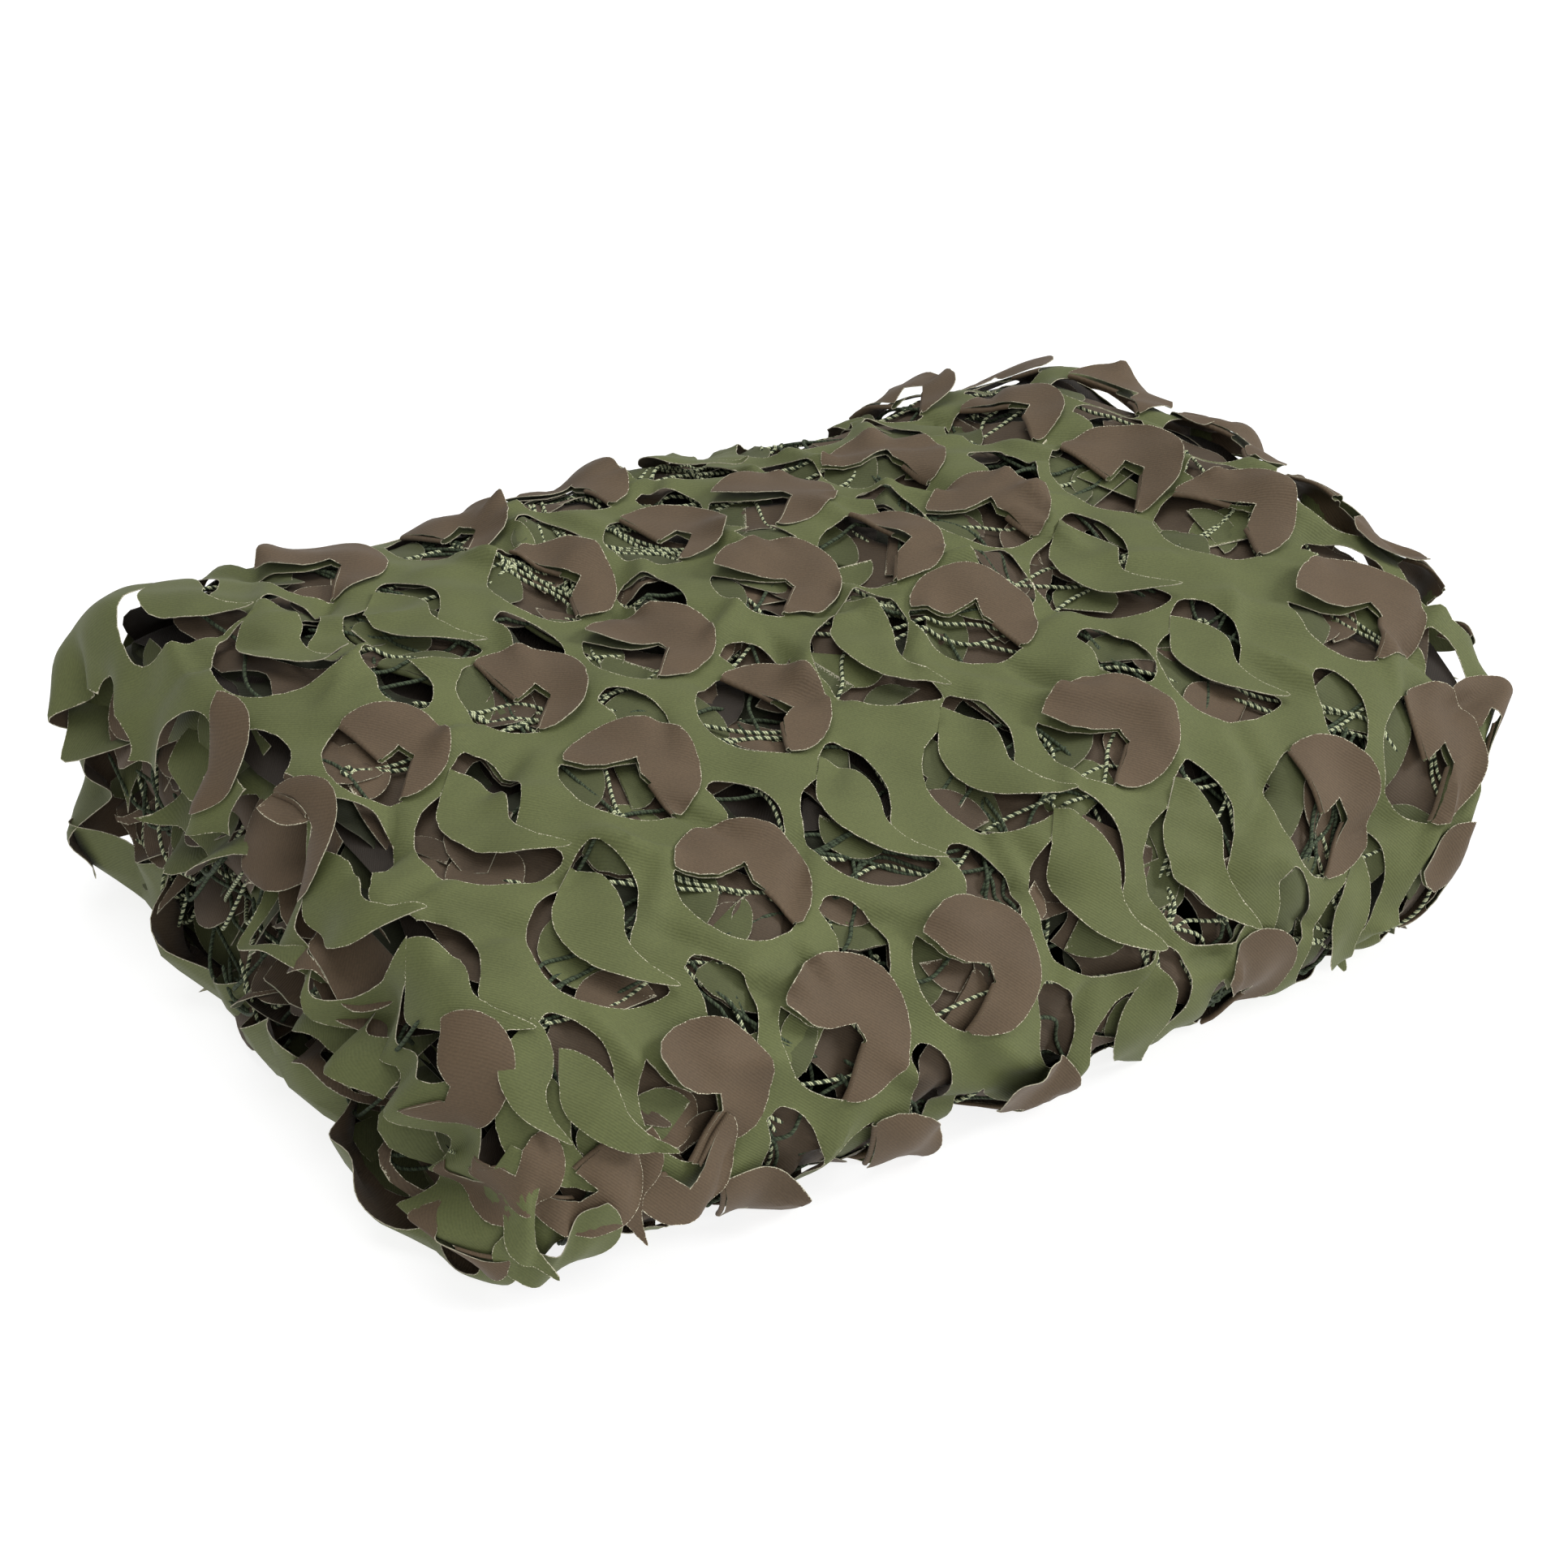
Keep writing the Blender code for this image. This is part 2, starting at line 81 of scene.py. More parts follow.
RISE = 0.15              # of the right end over the left, for each metre
FRONT_BULGE = 0.012
BACK_SKEW = 0.016
RIGHT_SLANT = 0.040
RIGHT_LEVEL = 0.65
RIGHT_SKEW = 0.014
LEFT_BULGE = 0.008
LEFT_LEVEL = 1.2
END_DROOP = 0.012
END_REACH = 0.050
END_MOST = 1.05          # past the ends, nothing leans further than it does here
RIPPLE = 0.0045
RIPPLE_LENGTH = 0.095
RIPPLE_LEAN = 9.0
RIPPLE_START = 2.0
DENT = 0.0022
DENT_WAVES = [
    # radians for each metre along X, along Y, and at the middle
    (27.0, 11.0, 0.0),
    (19.0, -31.0, 1.0),
]
SWAY_WAVE = (23.0, 2.0)


def smooth_line(points, steps=8):
    """A smooth line through the points, so many steps between each two."""
    points = [Vector(point) for point in points]
    line = []
    for k in range(len(points) - 1):
        before, here = points[max(k - 1, 0)], points[k]
        there, after = points[k + 1], points[min(k + 2, len(points) - 1)]
        for step in range(steps):
            t = step / steps
            line.append(0.5 * (2 * here + (there - before) * t
                               + (2 * before - 5 * here + 4 * there - after) * t * t
                               + (3 * here - before - 3 * there + after) * t ** 3))
    line.append(points[-1])
    return [tuple(point) for point in line]


class Fold:
    """A layer's middle line in the Y-Z plane, read by its length s along the cloth."""

    def __init__(self, line):
        self.line = np.array(line)
        steps = np.linalg.norm(np.diff(self.line, axis=0), axis=1)
        self.length = np.concatenate([[0.0], np.cumsum(steps)])
        self.end = self.length[-1]

    def at(self, s):
        return np.interp(s, self.length, self.line[:, 0]), np.interp(s, self.length, self.line[:, 1])

    def outward(self, s, reach=0.004):
        ahead, behind = self.at(s + reach), self.at(s - reach)
        along = np.stack([ahead[0] - behind[0], ahead[1] - behind[1]], axis=-1)
        along /= np.linalg.norm(along, axis=-1, keepdims=True)
        return -along[:, 1], along[:, 0]


def settle(x, y, z):
    """The bundle's uneven lie, the same for every layer."""
    height, depth = z / REACH_Z, y / REACH_Y
    across = 2 * x / WIDTH
    right, left = np.maximum(0.0, across), np.maximum(0.0, -across)
    at_end = np.clip((abs(x) - (WIDTH / 2 - END_REACH)) / END_REACH, 0.0, 1.0)
    phase = RIPPLE_LEAN * height + np.where(x > 0, RIPPLE_START, 0.0)
    wave = np.sin(2 * math.pi * y / RIPPLE_LENGTH + phase)
    new_z = z * (1 + RISE * x)
    new_z += height * (RIPPLE * at_end * wave - END_DROOP * at_end * at_end)
    new_z += height * DENT * sum(np.sin(a * x + b * y + c) for a, b, c in DENT_WAVES)
    new_y = y + height * DENT * np.sin(SWAY_WAVE[0] * x + SWAY_WAVE[1])
    new_y -= FRONT_BULGE * (1 - across * across) * np.maximum(0.0, -depth) ** 2
    new_y += BACK_SKEW * left * np.maximum(0.0, depth) ** 2
    lean = RIGHT_SLANT * (height - RIGHT_LEVEL) - RIGHT_SKEW * height * depth
    bulge = LEFT_BULGE * (LEFT_LEVEL - height) * (1 - depth ** 2)
    new_x = x + lean * np.minimum(right, END_MOST) ** 2 - bulge * np.minimum(left, END_MOST) ** 4
    return np.stack([new_x - MIDDLE[0], new_y - MIDDLE[1], new_z], axis=-1)


floor_run = [point for point in OUTER_SECTION if point[1] == OUTER_SECTION[0][1]]
outer = Fold(floor_run[:-1] + smooth_line(OUTER_SECTION[len(floor_run) - 1:]))
top_line = np.array(sorted(tuple(point) for point in outer.line if point[1] > TOP_LOW))
crown = outer.length[outer.line[:, 1] > TOP_LOW]
REFERENCE = crown[np.argmin(abs(outer.at(crown)[0] - CENTRE_Y))]
FRONT_FOOT = outer.length[len(floor_run) - 1]


def top_height(y):
    return np.interp(y, top_line[:, 0], top_line[:, 1])


# ---- The cloth and its cut leaves ---------------------------------------------------------------
# A fine coated twill, olive green on its face and brown on its reverse, stamped with rows of round cuts.
# The cuts leave pale frayed threads along every edge. Each piece of it has both faces and its thin cut
# edge.
CLOTH_THICKNESS = 0.0004
FRAY_WIDTH = 0.0010
JOIN_WIDTH = 0.0012
CUT_SPACING = 0.0026
CUT_JITTER = 0.00012
FINE_CUTS = (CUT_SPACING, 0.0045)    # between points along a cut, and inside a leaf
COARSE_CUTS = (0.0036, 0.008)        # the same, in the deeper layers
ROW_STEP = 0.87
FACE_COLOUR = (0.096, 0.109, 0.036)
REVERSE_COLOUR = (0.093, 0.062, 0.034)
THREAD_COLOUR = (0.60, 0.56, 0.41)
DEEP_SHADE = 0.08        # of the cloth's colour, where no light comes
CLOUDS = 38.0            # how often these repeat in each metre
RIBS = 380.0
GRAINS = 900.0
THREADS = 1400.0


class Wire:
    """A number on its way through a finish. Arithmetic on it adds the steps that work it out."""

    def __init__(self, finish, socket):
        self.finish, self.socket = finish, socket

    def worked(self, operation, *values):
        return self.finish.step("ShaderNodeMath", {"operation": operation}, dict(enumerate(values)))

    def __add__(self, other):
        return self.worked("ADD", self, other)

    def __sub__(self, other):
        return self.worked("SUBTRACT", self, other)

    def __rsub__(self, other):
        return self.worked("SUBTRACT", other, self)

    def __mul__(self, other):
        return self.worked("MULTIPLY", self, other)

    __radd__, __rmul__ = __add__, __mul__

    def fraction(self):
        return self.worked("FRACT", self)

    def unsigned(self):
        return self.worked("ABSOLUTE", self)

    def ramp(self, low, high):
        """0 at low, 1 at high, smooth between."""
        settings = {"interpolation_type": "SMOOTHSTEP"}
        sockets = {"Value": self, "From Min": low, "From Max": high}
        return self.finish.step("ShaderNodeMapRange", settings, sockets)


class Finish:
    """A material, and the steps that work out how it varies."""

    def __init__(self, name, **plain):
        self.material = bpy.data.materials.new(name)
        self.material.use_nodes = True
        self.shader = self.material.node_tree.nodes["Principled BSDF"]
        self.tune(**plain)

    def feed(self, node, sockets):
        for key, value in sockets.items():
            if isinstance(value, Wire):
                self.material.node_tree.links.new(value.socket, node.inputs[key])
            else:
                node.inputs[key].default_value = value

    def step(self, kind, settings, sockets, output=0):
        node = self.material.node_tree.nodes.new(kind)
        for key, value in settings.items():
            setattr(node, key, value)
        self.feed(node, sockets)
        return Wire(self, node.outputs[output])

    def blend(self, share, first, second):
        """A colour between two others."""
        sockets = {0: share, 6: first, 7: second}
        return self.step("ShaderNodeMix", {"data_type": "RGBA"}, sockets, output=2)

    def place(self, output):
        return self.step("ShaderNodeTexCoord", {}, {}, output)

    def noise(self, vector, scale, detail=2.0):
        return self.step("ShaderNodeTexNoise", {}, {"Vector": vector, "Scale": scale, "Detail": detail})

    def carried(self, word):
        """A value that each corner of the mesh carries."""
        return self.step("ShaderNodeAttribute", {"attribute_name": word}, {}, output=2)

    def bump(self, height, strength, distance):
        sockets = {"Height": height, "Strength": strength, "Distance": distance}
        return self.step("ShaderNodeBump", {}, sockets)

    def tune(self, **values):
        self.feed(self.shader, {key.replace("_", " "): value for key, value in values.items()})
        return self.material


def rgba(colour, share=1.0):
    return (*(share * value for value in colour), 1.0)


def cloth_finish(name, colour):
    """Coated twill: soft cloudy shading, a fine diagonal rib, and pale threads at the cut edges."""
    finish = Finish(name, Roughness=0.72, Specular_IOR_Level=0.35, Sheen_Weight=0.05)
    object_place, chart_place = finish.place("Object"), finish.place("UV")
    cloudy = finish.noise(object_place, CLOUDS, 4.0)
    fine = finish.noise(chart_place, GRAINS)
    rib = finish.step("ShaderNodeTexWave", {"wave_type": "BANDS", "bands_direction": "DIAGONAL"},
                      {"Vector": chart_place, "Scale": RIBS, "Distortion": 0.6}, output=1)
    light = cloudy.ramp(0.25, 0.75) * 0.35 + fine.ramp(0.3, 0.7) * 0.4 + rib * 0.25
    base = finish.blend(light, rgba(colour, 0.78), rgba(colour, 1.20))
    ragged = finish.noise(object_place, THREADS, 1.0)
    threads = (finish.carried("fray") * 0.8 + ragged).ramp(1.12, 1.30)
    cut = finish.blend(threads, base, rgba(THREAD_COLOUR))
    shaded = finish.blend(finish.carried("shade"), rgba(colour, DEEP_SHADE), cut)
    return finish.tune(Base_Color=shaded, Normal=finish.bump(rib * 0.6 + fine * 0.4, 0.4, 0.00030))


def edge_finish(name):
    """The raw edge of a cut: pale threads, dark gaps between them, and painted shade deep in the bundle."""
    finish = Finish(name, Roughness=0.9)
    light = finish.noise(finish.place("Object"), GRAINS) * finish.carried("shade")
    return finish.tune(Base_Color=finish.blend(light, rgba(THREAD_COLOUR, 0.06), rgba(THREAD_COLOUR, 1.3)))


CLOTH_FINISHES = [
    cloth_finish("green face", FACE_COLOUR),
    cloth_finish("brown reverse", REVERSE_COLOUR),
    edge_finish("frayed cut edge"),
]


def within(points, loop):
    """Which of the points lie inside the loop."""
    low, high = loop.min(axis=0), loop.max(axis=0)
    near = np.all((points > low) & (points < high), axis=1)
    x, y = points[near, 0], points[near, 1]
    inside = np.zeros(len(x), bool)
    for (ax, ay), (bx, by) in zip(loop, np.roll(loop, -1, axis=0)):
        if ay != by:
            crosses = (ay > y) != (by > y)
            inside ^= crosses & (x < ax + (y - ay) * (bx - ax) / (by - ay))
    found = np.zeros(len(points), bool)
    found[near] = inside
    return found


def spaced(points, spacing):
    """The same line with points at an even spacing, its own points kept."""
    line = []
    for a, b in zip(points[:-1], points[1:]):
        a, b = np.array(a), np.array(b)
        count = max(1, round(float(np.linalg.norm(b - a)) / spacing))
        line.extend(a + (b - a) * k / count for k in range(count))
    line.append(np.array(points[-1]))
    return line


def closed(points, spacing):
    """The same, round a loop."""
    return spaced([*points, points[0]], spacing)[:-1]


def heading(turn):
    return np.array([math.cos(turn), math.sin(turn)])


def arc(centre, radius, start, end, spacing):
    """A round cut from one angle to another, in degrees from +u towards +v."""
    count = max(3, round(abs(math.radians(end - start)) * radius / spacing))
    angles = np.radians(np.linspace(start, end, count + 1))
    u, v = centre[0] + radius * np.cos(angles), centre[1] + radius * np.sin(angles)
    return list(np.stack([u, v], axis=-1))


def grid_faces(rows, across):
    """The triangles between so many rows of corners, with so many across each."""
    corner = (np.arange(rows - 1)[:, None] * across + np.arange(across - 1)[None, :]).ravel()
    return np.concatenate([np.stack([corner, corner + 1, corner + across + 1], axis=-1),
                           np.stack([corner, corner + across + 1, corner + across], axis=-1)])


class Cutting:
    """A flat piece of cloth: its outline, the cuts in it, and the points between, in chart metres."""

    def __init__(self, outline, jitter=0.0):
        self.points, self.edges, self.fray, self.holes, self.joins = [], [], [], [], []
        self.jitter = jitter
        self.outline = self.add_line(outline, inward=True)

    def join(self, start, end):
        """The cloth isn't cut between these two points, so nothing is frayed there."""
        self.joins.append((np.array(start), np.array(end)))

    def add_line(self, points, inward):
        points = np.array(points)
        points = points + chance.normal(0.0, self.jitter, points.shape)
        ahead = np.roll(points, -1, axis=0)
        along = ahead - np.roll(points, 1, axis=0)
        side = np.stack([-along[:, 1], along[:, 0]], axis=-1)
        side /= np.linalg.norm(side, axis=1, keepdims=True) + 1e-12
        area = np.sum(points[:, 0] * ahead[:, 1] - points[:, 1] * ahead[:, 0])
        ring = points + side * FRAY_WIDTH * (1 if (area > 0) == inward else -1)
        ring = ring[within(ring, points) == inward]
        first, count = len(self.points), len(points)
        self.points.extend(points)
        self.fray.extend([1.0] * count)
        self.edges.extend((first + k, first + (k + 1) % count) for k in range(count))
        self.points.extend(ring)
        self.fray.extend([0.0] * len(ring))
        return points

    def add_hole(self, points):
        self.holes.append(self.add_line(points, inward=False))

    def inside(self, points):
        """Which of the points lie on the cloth."""
        found = within(points, self.outline)
        for hole in self.holes:
            found &= ~within(points, hole)
        return found

    def fill(self, spacing, start=-math.inf, end=math.inf):
        """Points between the cuts, in offset rows, from one place along the cloth to another."""
        low, high = self.outline.min(axis=0), self.outline.max(axis=0)
        rows = np.arange(max(low[1], start), min(high[1], end), spacing * ROW_STEP)
        u, v = np.meshgrid(np.arange(low[0], high[0], spacing), rows)
        u = u + spacing * 0.5 * (np.arange(len(rows)) % 2)[:, None]
        grid = np.stack([u.ravel(), v.ravel()], axis=-1)

        def square(point):
            return int(point[0] / spacing * 2), int(point[1] / spacing * 2)

        taken = {square(point) for point in self.points}
        kept = [point for point in grid[self.inside(grid)] if square(point) not in taken]
        self.points.extend(kept)
        self.fray.extend([0.0] * len(kept))

    def cut(self):
        """The corners, the triangles and how frayed each corner is."""
        corners, _, faces, origin, _, _ = geometry.delaunay_2d_cdt(
            [Vector(point) for point in self.points], self.edges, [], 0, 1e-7)
        corners = np.array([tuple(point) for point in corners])
        faces = np.array([face for face in faces if len(face) == 3])
        faces = faces[self.inside(corners[faces].mean(axis=1))]
        a, b, c = (corners[faces[:, k]] for k in range(3))
        area = (b[:, 0] - a[:, 0]) * (c[:, 1] - a[:, 1]) - (b[:, 1] - a[:, 1]) * (c[:, 0] - a[:, 0])
        faces = faces[abs(area) > 1e-10]
        fray = np.array([self.fray[sources[0]] if sources else 1.0 for sources in origin])
        for start, end in self.joins:
            along = end - start
            share = np.clip((corners - start) @ along / (along @ along), 0.0, 1.0)
            near = np.linalg.norm(corners - start - share[:, None] * along, axis=1)
            fray[(near < JOIN_WIDTH) & (share > 0.0) & (share < 1.0)] = 0.0
        used, places = np.unique(faces, return_inverse=True)
        return corners[used], places.reshape(-1, 3), fray[used]


def new_piece(name, points, faces, slots, finishes, chart):
    """A mesh in the scene, with the chart places of the corners of each of its faces."""
    mesh = bpy.data.meshes.new(name)
    mesh.from_pydata(points.tolist(), [], faces)
    mesh.polygons.foreach_set("material_index", slots)
    places = np.asarray(chart, dtype=np.float32)
    mesh.uv_layers.new(name="chart").data.foreach_set("uv", places.ravel())
    for material in finishes:
        mesh.materials.append(material)
    piece = bpy.data.objects.new(name, mesh)
    bpy.context.scene.collection.objects.link(piece)
    return piece


class Cloth:
    """Cuttings that go into one piece: each gets its face, its reverse and its cut edge."""

    def __init__(self):
        self.middles, self.faces, self.charts, self.frays, self.shades, self.slots = [], [], [], [], [], []
        self.count = 0

    def add(self, points, faces, chart, fray, reverse_out=False, shade=1.0):
        self.middles.append(points)
        self.faces.append(faces + self.count)
        self.charts.append(chart)
        self.frays.append(fray)
        self.shades.append(np.broadcast_to(shade, len(points)))
        self.slots.append(np.full(len(faces), 1 if reverse_out else 0))
        self.count += len(points)

    def piece(self, name):
        middles, faces = np.concatenate(self.middles), np.concatenate(self.faces)
        a, b, c = (middles[faces[:, k]] for k in range(3))
        lean = np.cross(b - a, c - a)
        normals = np.zeros_like(middles)
        for k in range(3):
            np.add.at(normals, faces[:, k], lean)
        normals /= np.linalg.norm(normals, axis=1, keepdims=True) + 1e-15
        half = normals * CLOTH_THICKNESS / 2
        edges = np.concatenate([faces[:, [0, 1]], faces[:, [1, 2]], faces[:, [2, 0]]])
        there, back = edges @ (self.count, 1), edges @ (1, self.count)
        single = edges[~np.isin(there, back)]
        over, under = single, single + self.count
        rim = np.stack([over[:, 1], over[:, 0], under[:, 0], under[:, 1]], axis=-1)
        reverse = faces[:, ::-1] + self.count
        slots = np.concatenate(self.slots)
        corners = np.concatenate([faces.ravel(), reverse.ravel(), rim.ravel()])
        piece = new_piece(
            name,
            np.concatenate([middles + half, middles - half]),
            faces.tolist() + reverse.tolist() + rim.tolist(),
            np.concatenate([slots, 1 - slots, np.full(len(rim), 2)]),
            CLOTH_FINISHES,
            np.tile(np.concatenate(self.charts), (2, 1))[corners],
        )
        for word, values in (("fray", self.frays), ("shade", self.shades)):
            attribute = piece.data.attributes.new(word, "FLOAT", "POINT")
            attribute.data.foreach_set("value", np.tile(np.concatenate(values), 2).astype(np.float32))
        for other in bpy.context.selected_objects:
            other.select_set(False)
        piece.select_set(True)
        bpy.context.view_layer.objects.active = piece
        bpy.ops.object.shade_smooth_by_angle(angle=math.radians(60))
        return piece


# ---- The outer layer ----------------------------------------------------------------------------
# The layer that shows all round, with the die-cut pattern's holes cut through it. It hangs over the
# bundle's ends by a few centimetres, where the cuts leave tongues, and its soft creases run from hole to
# hole.
PITCH_X = 0.071
PITCH_S = 0.0736
ROW_SHIFT = 0.0128
COLUMN_DROP = -0.0048
CENTRE_X = -0.157
COLUMNS = range(-6, 12)
OUTER_LIFT = 0.0007
BEND_START = 0.262       # the outer layer bends down over the end from this far out
BEND_RADIUS = 0.020
BEND_TURN = 1.35         # of the bend, in radians
OVERHANG = 0.058         # of cloth past where it bends
FRONT_SHOULDER = 0.215   # along the cloth from the front foot to where it turns over the top
BACK_SHOULDER = 0.185    # from the middle of the top to where it turns down the back
LEFT_RISE = 0.009        # of the back of the top, at the left
RIGHT_DIP = 0.006        # and its dip at the right
FOOT_INSET = 0.028
FOOT_FADE = 0.19
SHOULDER_OUT = 0.010

HOLE_CENTRE, HOLE_RADIUS = (0.003, -0.001), 0.0304
FLAP_CENTRE, FLAP_RADIUS = (0.0045, -0.001), 0.0312
# The kinds of repeat, by row from the back (-5) to the front foot (8), for columns -3 to 8.
# a to d: leaf folded over. t: tongue. o: open.
FIRST_COLUMN = -3
KINDS = {
    -5: "aabatbadbatc",
    -4: "batcadbatabc",
    -3: "cdatbcaobdac",
    -2: "abtbactoacba",
    -1: "bcttdabcddba",
    0: "aoaabbdcadba",
    1: "abtcdtctdabc",
    2: "bttcttbtbacd",
    3: "cabbbttaabcd",
    4: "dbaabtbtcbad",
    5: "abcdabtcbdab",
    6: "tbadcbatbcad",
    7: "abdcabacdbab",
    8: "cbatbcdabacb",
}
# The inner edge of each kind of folded leaf, from its back end to its front end. v is towards the front.
FOLDED_EDGES = {
    "a": [
        # u, v, in mm, and whether the edge on to the next point is folded
        (-5, -30, True),
        (0, 2, False),
        (12, -2, False),
        (15, 8, True),
        (-4, 28, False),
    ],
    "b": [
        (-20, -20, False),
        (-12, -8, False),
        (-4, -3, False),
        (9, 0, False),
        (10, 8, True),
        (-8, 27, False),
    ],
    "c": [
        (-21, -18, False),
        (-14, -10, False),
        (-6, -6, False),
        (10, -6, False),
        (7, 3, False),
        (9, 9, True),
        (11, 28, False),
    ],
    "d": [
        (1, -31, True),
        (14, -5, False),
        (18, 4, False),
        (8, 10, True),
        (-1, 28, False),
    ],
}
# The cut round a tongue, from its neck at the back round the left, the front and the right. It takes in the
# crescent at its back right.
TONGUE_HOLE = [
    # u, v, in mm
    (-4, -33),
    (-16, -27),
    (-25, -15),
    (-28, -1),
    (-25, 13),
    (-15, 24),
    (-3, 29),
    (10, 30),
    (24, 26),
    (18, 12),
    (15, 1),
    (22, -10),
    (28, -24),
    (25, -41),
    (16, -51),
    (6, -45),
]
# The crescent between four repeats, from the middle of the repeat to its back left.
CRESCENT = [
    # u, v, in mm
    (30, 22),
    (37, 18),
    (45, 23),
    (51, 34),
    (52, 47),
    (47, 59),
    (40, 64),
    (33, 58),
    (28, 47),
    (31, 35),
]
# Repeats that the folds have shifted. The others are turned and sized by chance.
NUDGES = [
    # column, row, shift in u and v in mm, turn in degrees, size
    (-1, -1, 3, -8, 10, 1.0),
    (0, -1, -8, 10, 0, 1.0),
    (1, -1, 0, 6, -5, 1.0),
    (3, -1, -10, 6, 4, 1.0),
    (4, -1, -9, 0, -4, 1.0),
    (6, -1, -5, 9, 0, 1.0),
    (-1, 0, -4, 10, -4, 0.87),
    (2, 0, 8, -6, 2, 1.0),
    (3, 0, -7, 3, 8, 0.95),
    (4, 0, -10, -1, -3, 0.95),
    (6, 0, -5, 8, 5, 1.0),
    (1, 1, 7, -5, 0, 1.0),
    (2, 1, 5, -7, 10, 1.0),
    (3, 1, -8, -10, -6, 0.95),
    (4, 1, -4, -8, 8, 1.05),
    (5, 1, 4, -9, -5, 1.04),
    (3, 2, -10, 6, 5, 1.0),
    (4, 2, -9, 1, 0, 0.95),
    (5, 2, 4, 0, -4, 1.05),
    (3, 3, -12, 9, 4, 1.0),
    (4, 3, -5, 6, 0, 1.0),
    (5, 3, -2, 6, 0, 1.0),
    (1, 4, 5, 7, 5, 1.0),
]
CREASES = [
    # column and row of the start, column and row of the end, height in mm, width in mm
    (-0.6, 1.3, -0.2, 1.7, 3.0, 4),
    (0.4, 1.2, 0.9, 1.5, -2.0, 6),
    (2.4, 1.2, 3.3, 2.1, 3.5, 6),
    (0.5, 2.6, 1.6, 2.9, 2.0, 7),
    (3.4, 0.4, 4.6, 1.0, 2.5, 6),
    (-1.3, 0.5, -0.5, 0.9, 2.5, 7),
    (1.4, -0.4, 2.2, 0.5, 2.5, 6),
    (4.4, 1.5, 5.2, 2.6, 2.5, 7),
    (-1.5, 1.4, -1.0, 2.4, -3.0, 8),
    (1.5, 3.4, 2.6, 3.2, 2.5, 6),
    (2.6, 2.4, 3.4, 3.2, 2.5, 5),
    (0.5, -1.5, 1.4, -1.2, 2.0, 7),
    (3.5, -1.5, 4.5, -0.6, 2.5, 7),
]
SWELLS = [
    # height in m, radians for each metre along u and along s, and at the middle
    (0.0018, 70.0, 23.0, 0.0),
    (0.0015, -38.0, 52.0, 1.0),
]
CHANCE_CREASES = 3       # round each repeat
CREASE_REACH = 0.09      # a crease is worked out this far round its start
CREASE_FADE = 1.5e-4     # the square of how fast it fades out past its ends
SHOULDER_WIDTH = 0.08


def repeat_centre(column, row):
    u = CENTRE_X + column * PITCH_X + row * ROW_SHIFT
    s = REFERENCE - row * PITCH_S - column * COLUMN_DROP
    return u, s


def on_chart(centre, points):
    """Offsets from the middle of a repeat, v towards the front, as places on the chart."""
    u, s, turn, size = centre
    right, front = size * math.cos(turn), size * math.sin(turn)
    return [(u + x * right - y * front, s - x * front - y * right) for x, y in points]


def millimetres(rows):
    return [(row[0] / 1000, row[1] / 1000) for row in rows]


def round_line(rows, spacing=CUT_SPACING):
    return spaced(smooth_line(millimetres(rows), 5), spacing)


def degrees_from(centre, point):
    return math.degrees(math.atan2(point[1] - centre[1], point[0] - centre[0]))


def folded_hole(kind, spacing):
    edge = millimetres(FOLDED_EDGES[kind])
    first, last = (degrees_from(HOLE_CENTRE, edge[k]) for k in (0, -1))
    rim = arc(HOLE_CENTRE, HOLE_RADIUS, last, 360 + first, spacing)
    line = spaced(edge, spacing)
    return line[:-1] + rim[:-1] if math.dist(edge[-1], rim[0]) < 0.002 else line + rim


def add_kind(cutting, kind, centre, spacing=CUT_SPACING):
    """Cuts round a leaf of this kind, or cuts a plain round hole."""
    if kind in FOLDED_EDGES:
        hole = folded_hole(kind, spacing)
    elif kind == "t":
        hole = round_line(TONGUE_HOLE, spacing)
    else:
        hole = arc(HOLE_CENTRE, HOLE_RADIUS, 0, 360, spacing)[:-1]
    cutting.add_hole(on_chart(centre, hole))


def joins_of(kind):
    """Where a leaf hangs on: the lines where it is folded over, or its neck."""
    if kind == "t":
        neck = millimetres(TONGUE_HOLE)
        return [(neck[-1], neck[0])]
    edge = FOLDED_EDGES.get(kind, [])
    return [millimetres(edge[k:k + 2]) for k in range(len(edge) - 1) if edge[k][2]]


def kind_at(column, row):
    letters = KINDS.get(row, "")
    place = column - FIRST_COLUMN
    return letters[place] if 0 <= place < len(letters) else "a"


crease_lines = []
for *ends, height, width in CREASES:
    start, end = repeat_centre(*ends[:2]), repeat_centre(*ends[2:])
    crease_lines.append((np.array(start), np.array(end), height / 1000, width / 1000))


def creased(u, s):
    """How far the outer layer stands out from its plain fold: soft swells, and the creases."""
    swell = sum(height * np.sin(a * u + b * s + c) for height, a, b, c in SWELLS)
    swell += 0.0013 * np.sin(150 * u + 40 * s + 2.0) * np.sin(120 * s - 0.5)
    shoulder = np.exp(-((s - REFERENCE - BACK_SHOULDER) / SHOULDER_WIDTH) ** 2)
    raised = LEFT_RISE * np.clip((-u - 0.02) / 0.20, 0.0, 1.0)
    swell += shoulder * (raised - RIGHT_DIP * np.clip((u - 0.12) / 0.12, 0.0, 1.0))
    for start, end, height, width in crease_lines:
        near = (abs(u - start[0]) < CREASE_REACH) & (abs(s - start[1]) < CREASE_REACH)
        reach = math.dist(start, end)
        along = (end - start) / reach
        far = (u[near] - start[0]) * along[0] + (s[near] - start[1]) * along[1]
        off = (u[near] - start[0]) * along[1] - (s[near] - start[1]) * along[0]
        past = np.maximum(0, -far) ** 2 + np.maximum(0, far - reach) ** 2
        swell[near] += height * np.exp(-past / CREASE_FADE - (off / width) ** 2)
    return swell


